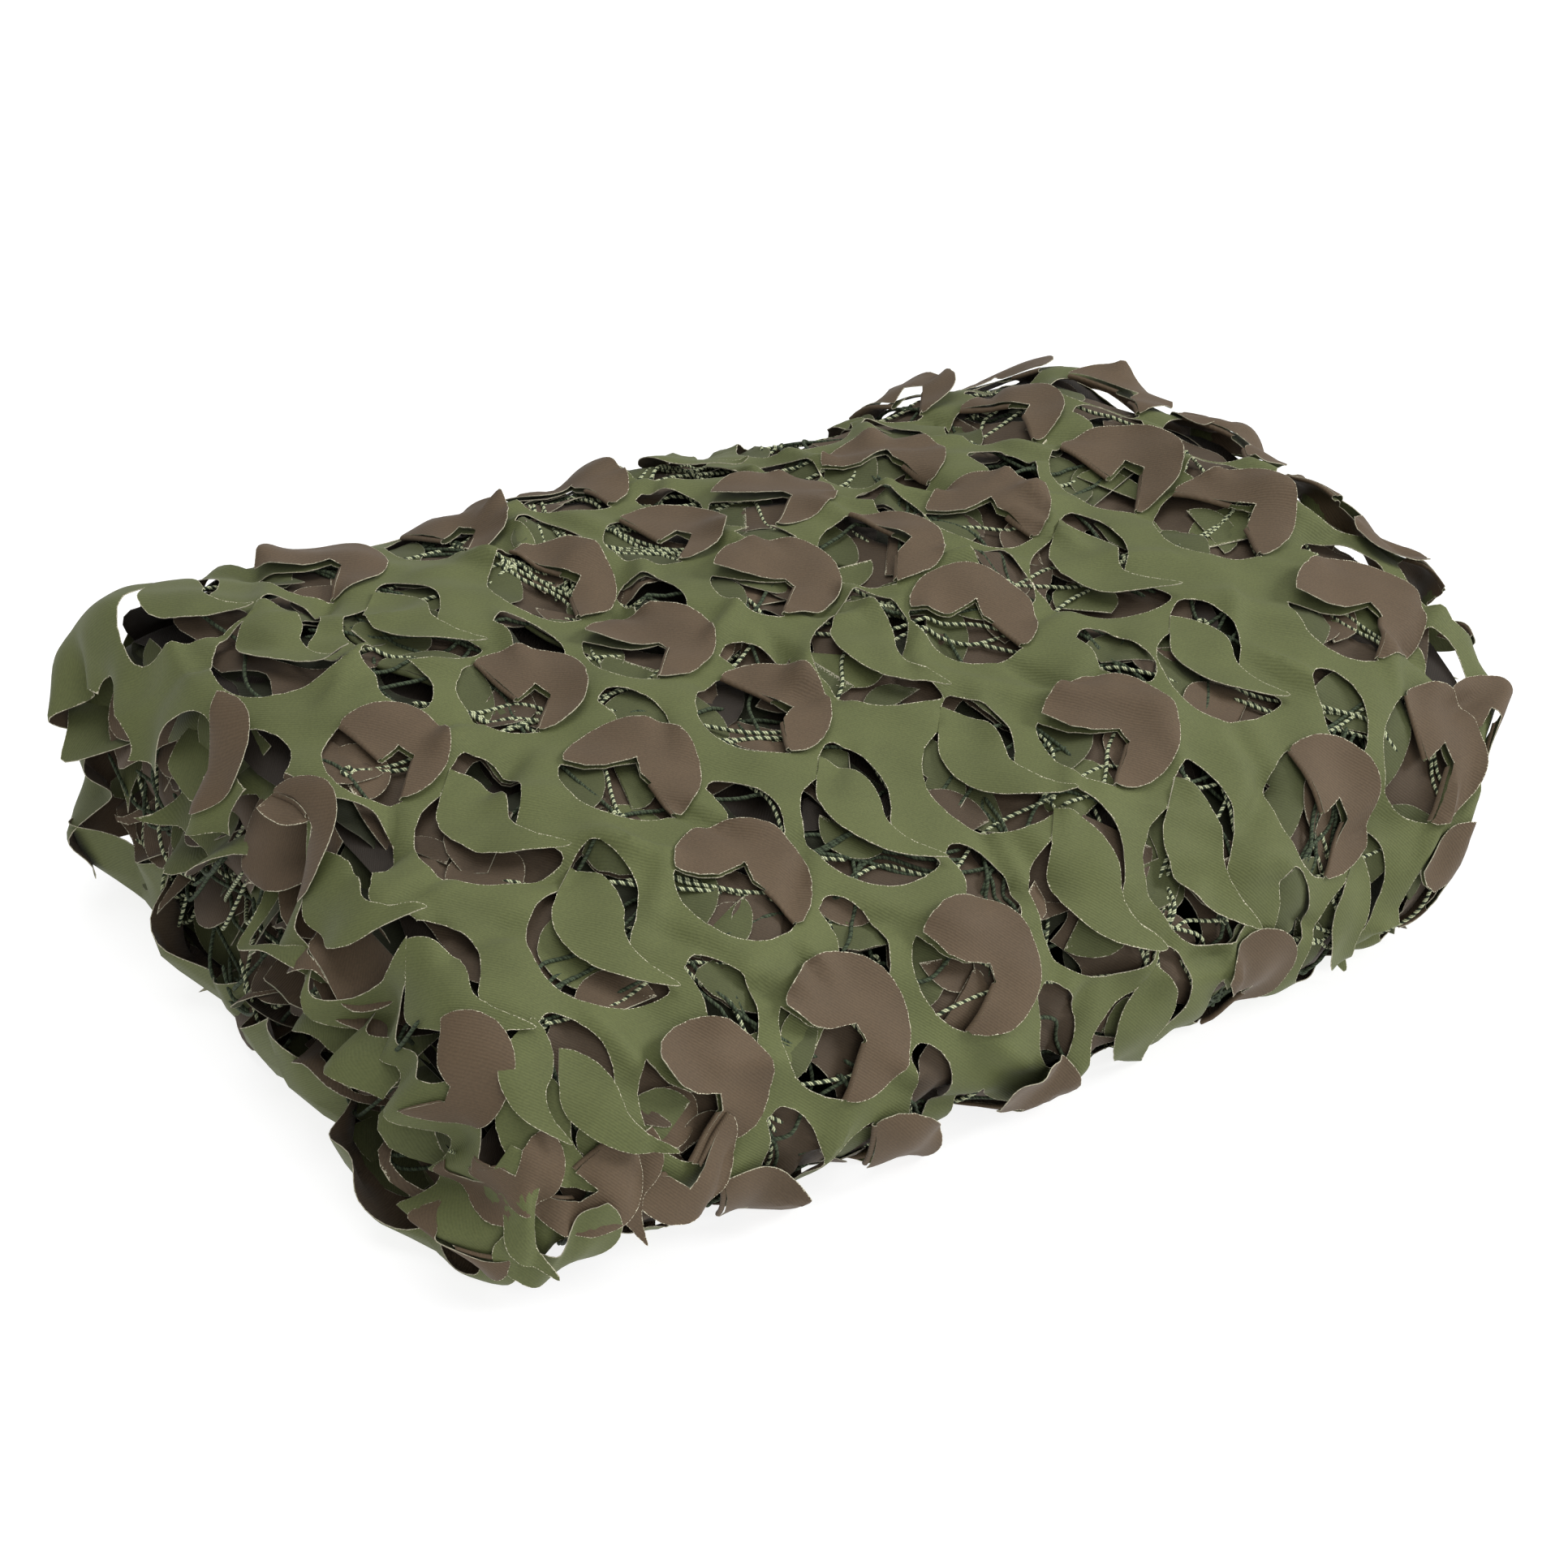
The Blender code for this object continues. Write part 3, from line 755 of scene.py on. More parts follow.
def up_both_sides(s, fade):
    """0 at the floor, 1 from this far up the front and the back."""
    return np.clip((s - FRONT_FOOT) / fade, 0.0, 1.0) * np.clip((outer.end - s) / fade, 0.0, 1.0)


def drawn_in(u, s):
    """How far the right end is pushed in along the foot, and out along the front of the top."""
    shoulder = np.exp(-((s - FRONT_FOOT - FRONT_SHOULDER) / 0.07) ** 2)
    pushed = FOOT_INSET * (1 - up_both_sides(s, FOOT_FADE)) - SHOULDER_OUT * shoulder
    return pushed * np.clip(u / 0.25, 0.0, 1.0) ** 2


def over_end(u, s):
    """Where a point of the outer layer lies along X, and how far in it hangs, past the bend at the end."""
    near_top = up_both_sides(s, 0.15) ** 2
    near_back = np.clip((s - REFERENCE) / 0.15, 0.0, 1.0)
    near_foot = 1.4 * np.exp(-((s - FRONT_FOOT + 0.02) / 0.06) ** 2)
    bend_start = BEND_START + np.where(u > 0, 0.032 * near_top - 0.018, 0.010 * (near_back + near_foot))
    past = np.maximum(0.0, abs(u) - bend_start)
    turn = np.minimum(past / BEND_RADIUS, BEND_TURN)
    rest = np.maximum(0.0, past - BEND_TURN * BEND_RADIUS)
    x = bend_start + BEND_RADIUS * np.sin(turn) + rest * math.cos(BEND_TURN)
    drop = BEND_RADIUS * (1 - np.cos(turn)) + rest * math.sin(BEND_TURN)
    return np.where(past > 0, np.sign(u) * x, u) - drawn_in(u, s), drop


def lay_outer(u, s, lift):
    """Places points of the outer layer, or of what lies on it or just under it."""
    x, drop = over_end(u, s)
    flutter = np.clip(drop / 0.03, 0.0, 1.0) * (0.008 * np.sin(s * 63 + 1.0) + 0.006 * np.sin(s * 141))
    y, z = outer.at(s)
    out_y, out_z = outer.outward(s)
    lift = lift - drop
    points = settle(x + np.sign(u) * flutter, y + out_y * lift, z + out_z * lift)
    points[:, 2] = np.maximum(points[:, 2], CLOTH_THICKNESS)
    return points


def outer_base(u, s):
    return OUTER_LIFT + creased(u, s)


def wavy(k, spread):
    return spread * (math.sin(1.7 * k) + 0.6 * math.sin(4.3 * k + 1.0)) / 1.6


OUTLINE_STEP = 0.004
FLOOR_SPACING = 0.0120   # between points inside the cloth, where it lies on the floor
CLOTH_SPACING = 0.0037   # and where it shows
FOLDED_LEFT = -0.243     # no leaf folds over further left than this
FOOT_CLEAR = 0.030       # nor closer to the floor than this
LAST_U = 0.302           # the last repeats are cut this far out
END_STRIP = 0.012        # left uncut at the ends
BITE_U = -0.330          # between here and the last repeats, round bites are cut in the left edge
BITE_RADIUS = 0.0274
CRESCENT_U = 0.040       # from the middle of a repeat to that of its crescent
CRESCENT_CLEAR = 0.090   # no crescent is cut closer to the foot than this
end_u = BEND_START + OVERHANG
stations = np.arange(0.0, outer.end, OUTLINE_STEP)
left_side = [(-end_u - wavy(s * 20, 0.008 if s > FRONT_FOOT else 0.020), s) for s in stations]
left_side.append((-end_u, outer.end))
right_side = [(end_u - END_STRIP + wavy(s * 23 + 2, 0.008), s) for s in stations]
right_side.append((end_u - END_STRIP, outer.end))
outer_cut = Cutting(closed([*left_side[::-1], *right_side], OUTLINE_STEP), CUT_JITTER)
repeats = []
nudges = {row[:2]: row[2:] for row in NUDGES}
for row in KINDS:
    for column in COLUMNS:
        varied = (0, 0, chance.normal(0, 4), chance.normal(1, 0.025))
        shift_u, shift_v, turn, size = nudges.get((column, row), varied)
        u, s = repeat_centre(column, row)
        centre = (u + shift_u / 1000, s - shift_v / 1000, math.radians(turn), size)
        if not FRONT_FOOT + 0.01 < centre[1] < outer.end - 0.045 or abs(centre[0]) > end_u + 0.02:
            continue
        clear = centre[1] > FRONT_FOOT + CRESCENT_CLEAR and kind_at(column, row + 1) != "t"
        if clear and -LAST_U + 0.027 < u + CRESCENT_U < LAST_U - END_STRIP:
            crescent = round_line(CRESCENT + CRESCENT[:1])[:-1]
            outer_cut.add_hole(on_chart((u, s, 0.0, 1.0), crescent))
        if not -LAST_U + END_STRIP < centre[0] < LAST_U:
            if BITE_U < centre[0] < 0:
                bite = arc(HOLE_CENTRE, BITE_RADIUS, 0, 360, CUT_SPACING)[:-1]
                outer_cut.add_hole(on_chart(centre, bite))
            continue
        kind = kind_at(column, row)
        if kind in FOLDED_EDGES and (centre[0] < FOLDED_LEFT or centre[1] < FRONT_FOOT + FOOT_CLEAR):
            kind = "ot"[(column + row) % 2]
        repeats.append((column, row, kind, centre))
        add_kind(outer_cut, kind, centre)
        for ends in joins_of(kind):
            outer_cut.join(*on_chart(centre, ends))
outer_cut.fill(FLOOR_SPACING, end=FRONT_FOOT)
outer_cut.fill(CLOTH_SPACING, start=FRONT_FOOT)
chart, faces, fray = outer_cut.cut()
for *_, centre in repeats:
    for _ in range(CHANCE_CREASES):
        turn, away = chance.uniform(0, 2 * math.pi), chance.uniform(0.030, 0.040)
        reach = chance.uniform(0.008, 0.024)
        start = np.array(centre[:2]) + away * heading(turn)
        end = start + reach * heading(turn + chance.normal(0, 0.5))
        height = chance.choice([-1, 1]) * chance.uniform(0.0026, 0.0056)
        crease_lines.append((start, end, height, chance.uniform(0.0040, 0.0066)))
cloth = Cloth()
cloth.add(lay_outer(*chart.T, outer_base(*chart.T)), faces, chart, fray)

# ---- The inner layers ---------------------------------------------------------------------------
# The rest of the same cloth: runs from front to back with tight turns between them, which show at the
# ends and through the holes. The turned faces alternate, so every other run has the brown reverse on top.
RUNS = 15
RUN_LOW = 0.0085
RUN_CLEAR = 0.0130       # from the highest run up to the outer layer
RUN_STEPS = 24
TURN_STEPS = 6
TURN_FRONT = -0.158
TURN_BACK = 0.168
TURN_UNEVEN = 0.008
INNER_END = 0.285
INNER_SHADE = 0.11


def turn_at(run):
    """Where along Y the cloth turns after this run, at the front or at the back."""
    return (TURN_FRONT if run % 2 else TURN_BACK) + TURN_UNEVEN * math.sin(2.3 * run + 0.7)


def run_height(share, y, clear=RUN_CLEAR):
    """The height of a run that lies this share of the way from the lowest to the highest."""
    return RUN_LOW + share * (top_height(y) - clear - RUN_LOW)


inner_line = []
for run in range(1, RUNS + 1):
    end = turn_at(run)
    share = (run - 1) / (RUNS - 1)
    for y in np.linspace(turn_at(run - 1), end, RUN_STEPS):
        inner_line.append((y, run_height(share, y)))
    if run < RUNS:
        here, there = inner_line[-1][1], run_height(run / (RUNS - 1), end)
        radius = (there - here) / 2
        for step in range(1, TURN_STEPS):
            angle = math.pi * step / TURN_STEPS
            reach = radius * math.sin(angle) * (-1 if run % 2 else 1)
            inner_line.append((end + reach, (here + there) / 2 - radius * math.cos(angle)))
inner = Fold(inner_line)
near_end = np.arange(0.205, 0.284, 0.010)
inner_u = np.concatenate([[-INNER_END], -near_end[::-1], np.arange(-0.15, 0.151, 0.05), near_end,
                          [INNER_END]])
flat_u, flat_s = (grid.ravel() for grid in np.meshgrid(inner_u, inner.length))
y, z = inner.at(flat_s)
out_y, out_z = inner.outward(flat_s, 0.001)
at_end = np.clip((abs(flat_u) - 0.20) / 0.085, 0.0, 1.0)
ruffle = at_end ** 2 * 0.0032 * np.sin(flat_s * 40 + 1.3 * np.sign(flat_u))
shorter = np.where(flat_u > 0, 0.110 * (1 - z / REACH_Z), 0.070)
trim = 1 + (0.02 * np.sin(flat_s * 31) - shorter) * at_end
inner_points = settle(flat_u * trim, y + out_y * ruffle, z + out_z * ruffle)
inner_chart = np.stack([flat_u, flat_s + outer.end], axis=-1)
cloth.add(inner_points, grid_faces(len(inner.length), len(inner_u)), inner_chart, np.zeros(len(flat_u)),
          shade=INNER_SHADE)
cloth_piece = cloth.piece("cloth_sheet")

# ---- The leaves of the outer layer --------------------------------------------------------------
# The parts of the cloth inside the round cuts. Folded leaves lie over to the right with their brown
# reverse up. Tongues are still green side up: they hang from their neck at the back, and their tips stand
# off the layers below.
ROLL_ROWS = 5            # of faces round the rolled cloth of a fold
ROLL_OUT = 0.0016
ROLL_RADIUS = 0.0011
TONGUE = [
    # u, v, in mm, from the right of its neck round the right side to its tip and back up the left
    (6, -45),
    (13, -38),
    (18, -26),
    (17, -13),
    (13, -1),
    (17, 12),
    (27, 26),
    (13, 21),
    (1, 14),
    (-8, 4),
    (-13, -8),
    (-12, -21),
    (-4, -33),
]
# How single leaves lie, where the photograph shows it: the rest vary by chance.
LEANS = [
    # column, row, lean at the back and at the front of the hinge in degrees, curl in degrees for each 10 mm
    (0, 0, 3, 6, 1),
    (-1, 0, 3, 5, 0),
    (0, 1, 10, 4, -2),
    (0, 2, 4, 3, 0),
    (1, 3, 3, 3, 1),
    (0, 3, 3, 4, 1),
    (1, 1, 4, 3, 1),
    (2, 0, 4, 4, 1),
    (3, 2, 6, 5, 0),
    (6, -2, 14, 10, 2),
    (5, -2, 10, 12, 2),
    (6, -1, 7, 11, 1),
    (6, 0, 5, 9, 0),
    (6, 1, 8, 6, 1),
    (2, -2, 10, 5, 1),
    (7, 1, 10, 8, 2),
    (1, -2, 8, 5, 1),
    (0, -2, 5, 4, 1),
    (-1, 3, 12, 26, 2),
    (0, 4, 12, 18, 1),
    (1, 4, 12, 16, 1),
]


def bend_over(points, hinge, lean, curl):
    """Turns points about a hinge and curls them: where they then lie, and how far up."""
    start, end = np.array(hinge[0]), np.array(hinge[1])
    along = end - start
    reach = np.linalg.norm(along)
    along = along / reach
    off = np.array([-along[1], along[0]])
    far, away = (points - start) @ along, (points - start) @ off
    side = np.sign(away.mean())
    away = away * side
    share = np.clip(far / reach, -0.3, 1.3)
    first = np.radians(lean[0] + (lean[1] - lean[0]) * share)
    turn = math.radians(curl + 0.001) / 0.010
    flat = (np.sin(first + turn * away) - np.sin(first)) / turn
    rise = (np.cos(first) - np.cos(first + turn * away)) / turn
    placed = start + far[:, None] * along + (flat * side)[:, None] * off
    return placed, np.where(away > 0, rise, 0.0)


# Leaves are added onto a layer, which is given as the cloth they join, what lays its points in place, and
# how high it lies.
def add_leaf(onto, centre, outline, hinge, lean, curl, lift, reverse_out, fine, joins=(), shade=1.0):
    """Cuts a leaf, bends it at its hinge, and lays it on the layer that it is cut from."""
    cloth, lay, base = onto
    cutting = Cutting(outline, CUT_JITTER)
    for ends in joins:
        cutting.join(*ends)
    cutting.fill(fine)
    flat, faces, fray = cutting.cut()
    placed, rise = bend_over(flat, hinge, lean, curl)
    u, s = np.array(on_chart(centre, placed)).T
    points = lay(u, s, base(u, s) + (rise + lift(flat)))
    cloth.add(points, faces[:, ::-1], np.array(on_chart(centre, flat)), fray, reverse_out, shade)


def folded_outline(kind, spacing):
    edge = millimetres(FOLDED_EDGES[kind])
    start, end = degrees_from(FLAP_CENTRE, edge[-1]), degrees_from(FLAP_CENTRE, edge[0])
    rim = arc(FLAP_CENTRE, FLAP_RADIUS, start + (360 if start < end else 0), end, spacing)
    rim = [p for p in rim if min(math.dist(p, edge[0]), math.dist(p, edge[-1])) > 0.0015]
    return spaced(edge, spacing) + rim


def add_roll(onto, centre, fold, spacing, turned, shade):
    """The rolled cloth along a fold."""
    cloth, lay, base = onto
    start, end = fold
    steps = max(3, round(math.dist(start, end) / (2 * spacing)))
    turns, shares = np.linspace(0.0, math.pi, ROLL_ROWS + 1), np.linspace(0.03, 0.97, steps + 1)
    angle, share = (grid.ravel() for grid in np.meshgrid(turns, shares, indexing="ij"))
    x, y = (start[n] + (end[n] - start[n]) * share for n in range(2))
    u, s = np.array(on_chart(centre, np.stack([x - ROLL_OUT * np.sin(angle), y], axis=-1))).T
    points = lay(u, s, base(u, s) + ROLL_RADIUS * (1 - np.cos(angle)))
    chart = np.array(on_chart(centre, np.stack([x - 0.002 * angle / math.pi, y], axis=-1)))
    cloth.add(points, grid_faces(ROLL_ROWS + 1, steps + 1)[:, ::-1], chart, np.zeros(len(points)), turned,
              shade)


def add_folded(onto, centre, kind, lean, curl, cuts=FINE_CUTS, turned=False, shade=1.0):
    """A leaf that is folded over to the right, and the roll of cloth along its fold."""
    folds = joins_of(kind)
    back, front = folds[0][0], folds[-1][1]
    hinge = ((min(back[0], front[0]) if len(folds) > 1 else back[0], back[1]), front)
    waves = chance.uniform(0, 6, 3)

    def lift(flat):
        rumple = np.sin(flat[:, 1] * 130 + waves[0]) + np.sin(flat[:, 0] * 110 + flat[:, 1] * 60 + waves[1])
        return 0.0021 + 0.0008 * rumple * np.clip((flat[:, 0] + 0.02) / 0.03, 0.3, 1.0)

    outline = folded_outline(kind, cuts[0])
    add_leaf(onto, centre, outline, hinge, lean, curl, lift, not turned, cuts[1], folds, shade)
    for fold in folds:
        add_roll(onto, centre, fold, cuts[0], turned, shade)


def add_tongue(onto, centre, lift_by, cuts=FINE_CUTS, turned=False, shade=1.0):
    """A tongue, raised by the first of these heights in its middle and by the second at its tip."""
    (neck,) = joins_of("t")
    high, tip = lift_by
    start = (np.array(neck[0]) + neck[1]) / 2
    reach = np.array(max(millimetres(TONGUE), key=lambda point: point[1])) - start
    waves = chance.uniform(0, 6, 2)

    def lift(flat):
        away = np.clip((flat - start) @ reach / (reach @ reach), 0.0, 1.0)
        rumple = np.sin(flat[:, 1] * 95 + waves[0]) + np.sin(flat[:, 0] * 120 + waves[1])
        swell = np.clip(away / 0.4, 0.0, 1.0) ** 2
        return 0.0004 + high * swell + (tip - high) * away ** 3 + 0.0005 * rumple * swell

    outline = round_line(TONGUE, cuts[0])
    add_leaf(onto, centre, outline, neck, (0.0, 0.0), 0.0, lift, turned, cuts[1], [neck], shade)


# Leaves of the cut edge and of lower layers that hang out over the ends and the front left corner.
LOOSE_LEAVES = [
    # u in m, row, kind, size, height in mm, turn and lean in degrees, whether the brown reverse is up
    (-0.290, -0.7, "b", 0.75, 3, 100, 4, True),
    (-0.298, 3.10, "a", 0.85, 3, 100, 8, True),
    (-0.290, 0.40, "d", 0.75, 4, 20, 8, True),
    (0.290, -0.6, "c", 0.85, 1, -60, 6, True),
    (0.294, 1.20, "b", 0.85, 2, -100, 8, True),
    (0.272, 2.70, "a", 0.80, 2, -30, 6, True),
    (-0.286, 2.45, "b", 0.80, 2, 60, 14, True),
    (-0.262, 2.75, "t", 0.70, 3, 25, 6, False),
    (-0.236, 3.05, "t", 0.75, 5, -15, 8, False),
    (-0.276, 3.05, "c", 0.75, 4, 120, 16, True),
    (-0.250, 3.25, "a", 0.80, 3, 70, 10, True),
    (-0.284, 3.45, "t", 0.80, 5, 10, 8, False),
    (-0.205, 3.30, "d", 0.90, 2, 75, 9, True),
    (-0.232, 3.45, "t", 0.65, 2, 30, 6, True),
    (-0.262, 3.60, "b", 0.80, 4, 95, 16, False),
    (-0.300, 3.62, "d", 0.70, 2, 110, 10, True),
]
leans = {(column, row): (back, front, curl) for column, row, back, front, curl in LEANS}
leaves = Cloth()
for column, row, kind, centre in repeats:
    most = 14 if row < -1 or row > 3 else 9
    varied = (*chance.uniform(2, most, 2), chance.uniform(-1, 2))
    back, front, curl = leans.get((column, row), varied)
    if kind in FOLDED_EDGES:
        add_folded((leaves, lay_outer, outer_base), centre, kind, (back, front), curl)
    elif kind == "t":
        lift_by = (chance.uniform(0.001, 0.003), chance.uniform(0.003, 0.009))
        add_tongue((leaves, lay_outer, outer_base), centre, lift_by)
for u, row, kind, size, high, turn, lean, reverse_up in LOOSE_LEAVES:
    spot = (u, REFERENCE - row * PITCH_S, math.radians(turn), size)

    def raised_base(u, s, high=high / 1000):
        return outer_base(u, s) + high

    loose = (leaves, lay_outer, raised_base)
    if kind == "t":
        add_tongue(loose, spot, (0.003, 0.010), turned=reverse_up)
    else:
        add_folded(loose, spot, kind, (lean * 0.6, lean), 1.0, turned=not reverse_up)
leaves_piece = leaves.piece("cloth_leaves")

# ---- The layers just under the outer one --------------------------------------------------------
# Two plies of the same cloth, close under the outer layer, that fill its holes: the first has its brown
# reverse up and the second its green face. Their own holes and leaves lie out of step with the outer ones.
UNDER_LAYERS = [
    # depth in mm, shift along u and along s in mm, whether the reverse is up, share of light
    (5.6, 31, 22, True, 0.62),
    (10.4, -17, 41, False, 0.12),
]
UNDER_END = 0.262
UNDER_FIRST = FRONT_FOOT + 0.012
UNDER_LAST = outer.end - 0.03
UNDER_STEP = 0.006
UNDER_SPACING = 0.012
UNDER_STRIP = 0.03       # left uncut round these layers
SCRAPS = 3               # in each hole of the outer layer


def lay_under(u, s, lift):
    y, z = outer.at(s)
    out_y, out_z = outer.outward(s)
    return settle(u - drawn_in(u, s), y + out_y * lift, z + out_z * lift)


def in_under(u, s):
    """Whether a leaf in the middle of these layers is wholly on them."""
    return abs(u) < UNDER_END - UNDER_STRIP and UNDER_FIRST + UNDER_STRIP < s < UNDER_LAST - UNDER_STRIP


def add_scrap(cloth, centre):
    """A leaf of a deeper layer that shows in a hole: part of a disc, tilted, either side up."""
    radius, turn = chance.uniform(0.013, 0.022), chance.uniform(0, 360)
    outline = arc((0, 0), radius, turn, turn + chance.uniform(150, 250), COARSE_CUTS[0])
    depth, waves = chance.uniform(0.0022, 0.0042), chance.uniform(0, 6)
    onto = (cloth, lay_under, lambda u, s: creased(u, s) - depth)

    def lift(flat):
        return 0.0006 * np.sin(150 * flat[:, 0] + 90 * flat[:, 1] + waves)

    add_leaf(onto, centre, outline, (outline[0], outline[-1]), chance.uniform(-4, 5, 2), 0.0, lift,
             chance.uniform() < 0.5, COARSE_CUTS[1], shade=chance.uniform(0.5, 1.0))


under_pieces = []
for number, (depth, shift_u, shift_s, reverse_up, shade) in enumerate(UNDER_LAYERS):
    under = Cloth()
    stations = np.arange(UNDER_FIRST, UNDER_LAST, UNDER_STEP)
    left_side = [(-UNDER_END + 0.010 + wavy(s * 31 + number, 0.008), s) for s in stations]
    right_side = [(UNDER_END + wavy(s * 27 + number, 0.006), s) for s in stations]
    under_cut = Cutting(closed([*left_side[::-1], *right_side], UNDER_STEP))
    spots = []
    for row in KINDS:
        for column in COLUMNS:
            u, s = repeat_centre(column, row)
            centre = (u + shift_u / 1000, s + shift_s / 1000, chance.uniform(-0.7, 0.7), 1.0)
            if in_under(*centre[:2]):
                kind = "abcdtbcdto"[int(chance.integers(10))]
                spots.append((kind, centre))
                add_kind(under_cut, kind, centre, COARSE_CUTS[0])
    under_cut.fill(UNDER_SPACING)
    chart, faces, fray = under_cut.cut()

    def under_base(u, s, depth=depth / 1000, number=number):
        rumple = 0.0011 * np.sin(95 * u + 60 * s + number) + 0.0009 * np.sin(81 * s - 64 * u + 2 * number)
        return creased(u, s) - depth + rumple

    points = lay_under(*chart.T, under_base(*chart.T))
    under.add(points, faces, chart, fray, reverse_up, shade)
    for kind, centre in spots:
        lean = (chance.uniform(0, 4), chance.uniform(0, 4))
        onto = (under, lay_under, under_base)
        if kind in FOLDED_EDGES:
            add_folded(onto, centre, kind, lean, 0.0, COARSE_CUTS, reverse_up, shade)
        elif kind == "t":
            add_tongue(onto, centre, (0.001, 0.003), COARSE_CUTS, reverse_up, shade)
    if number == 0:
        for *_, (u, s, _, _) in repeats:
            for _ in range(SCRAPS if in_under(u, s) else 0):
                spot = (u + chance.normal(-0.003, 0.016), s + chance.normal(0, 0.016), 0.0, 1.0)
                add_scrap(under, spot)
    under_pieces.append(under.piece(f"cloth_under_{number + 1}"))

# ---- The ends of the bundle ---------------------------------------------------------------------
# At each end the folded layers stick out by different amounts. Their cut edges hang over each other in
# ruffles, with the leaves between the cuts bent down and rolled, and with the green face or the brown
# reverse out.
END_LAYERS = 12
END_BEND = 0.256
END_INNER = 0.030        # of each layer that lies between its neighbours
END_STEP = 0.005
END_CLEAR = 0.012        # from the highest of these layers up to the outer one
END_SLANT = 0.052        # of the right end, outwards and up
END_LEVEL = 0.62         # the share of the height where it is neither in nor out
END_JITTER = 0.0002
END_SPACING = 0.0075     # between points inside a layer
LEAF_SPACING = 0.007     # and inside a hanging leaf
END_HOLE = 0.027
END_FAR = 0.290          # no hanging leaf reaches further out
FLOOR_CLEAR = 0.0012


def spread(side, share):
    """How much further out the upper layers of the right end lie than the lower ones."""
    return END_SLANT * (share - END_LEVEL) if side > 0 else 0.0


def add_end(ends, side, x, y, z, faces, *rest):
    points = settle(side * x, y, z)
    points[:, 2] = np.maximum(points[:, 2], FLOOR_CLEAR)
    ends.add(points, faces[:, ::-side], *rest)


def hang_leaf(ends, centre, side, share, phase):
    """A cut leaf that hangs out of the end: a half disc, bent down and rolled."""
    radius = chance.uniform(0.024, 0.030)
    rim = arc((0, 0), radius, 0, 180, COARSE_CUTS[0])
    cutting = Cutting(closed([*rim, (-radius, -0.004), (radius, -0.004)], COARSE_CUTS[0]), END_JITTER)
    cutting.fill(LEAF_SPACING)
    flat, faces, fray = cutting.cut()
    lean, roll, twist = chance.uniform(0.2, 1.3), chance.uniform(-30, 40), chance.uniform(-14, 14)
    out = flat[:, 1]
    angle = lean + roll * out + twist * flat[:, 0]
    x = END_BEND + 0.008 + out * np.cos(angle) + 0.004 * math.sin(phase) + spread(side, share)
    y = centre + flat[:, 0]
    z = run_height(share, y, END_CLEAR) - out * np.sin(angle) + 0.003
    # The last two arguments: whether the brown reverse is up, and the painted shade, darker for the lower
    # layers.
    add_end(ends, side, np.minimum(x, END_FAR), y, z, faces, flat, fray, chance.uniform() < 0.65,
            0.58 + 0.4 * share)


def end_layer(ends, number, side):
    """One layer's end: level inside the bundle, then out and down in waves."""
    share = (number + 0.6) / END_LAYERS
    level = 0.006 + share * (REACH_Z - 0.022)
    phase = number * 2.1 + side
    shown = outer.line[(outer.line[:, 1] > level) & (outer.line[:, 0] < 0)]
    front = shown[:, 0].min() + 0.016 + 0.008 * math.sin(2.9 * number)
    back = 0.186 - 0.006 * math.cos(1.9 * number)
    reach = 0.014 + 0.024 * share + 0.010 * math.sin(2.3 * number + side)
    stations = np.arange(front, back, END_STEP)
    free = [(y, reach + 0.006 * math.sin(y * 70 + number * 1.9 + side)) for y in stations]
    kept = [(y, -END_INNER) for y in stations]
    cutting = Cutting(closed([*kept, *free[::-1]], END_STEP), END_JITTER)
    middles = np.arange(front - chance.uniform(0, PITCH_S), back, PITCH_S)
    for y in middles:
        middle = (y, 0.004 + 0.010 * math.sin(number * 3.1 + y * 40))
        cutting.add_hole(arc(middle, END_HOLE, 90, 450, COARSE_CUTS[0])[:-1])
    cutting.fill(END_SPACING)
    flat, faces, fray = cutting.cut()
    y, out = flat.T
    free_share = np.clip((out + 0.012) / 0.036, 0.0, 1.3)
    droop = 26 + 16 * math.sin(number * 1.3) + 9 * np.sin(y * 34 + phase)
    past = np.maximum(0.0, out + 0.004)
    angle = np.minimum(droop * past, 1.5)
    wave = np.sin(y * 2 * math.pi / 0.071 + phase) + 0.5 * np.sin(y * 2 * math.pi / 0.043 + 2 * phase)
    x = END_BEND + np.minimum(out, -0.004) + np.where(past > 0, np.sin(angle) / droop, 0.0)
    x += 0.0085 * free_share * wave + spread(side, share) + (0.008 * (share - 0.7) if side < 0 else 0.0)
    z = run_height(share, y, END_CLEAR) - (1 - np.cos(angle)) / droop
    z += 0.0062 * free_share * np.cos(y * 2 * math.pi / 0.060 + phase)
    shade = 0.05 + 0.93 * np.clip((out + 0.004) / 0.030, 0.0, 1.0) * (0.62 + 0.38 * share)
    add_end(ends, side, x, y, z, faces, flat, fray, number % 2 == (side > 0), shade)
    for y in middles:
        if front + 0.03 < y < back - 0.03:
            hang_leaf(ends, y, side, share, phase)


end_pieces = []
for side, word in ((-1, "left"), (1, "right")):
    ends = Cloth()
    for number in range(END_LAYERS):
        end_layer(ends, number, side)
    end_pieces.append(ends.piece(f"cloth_ends_{word}"))

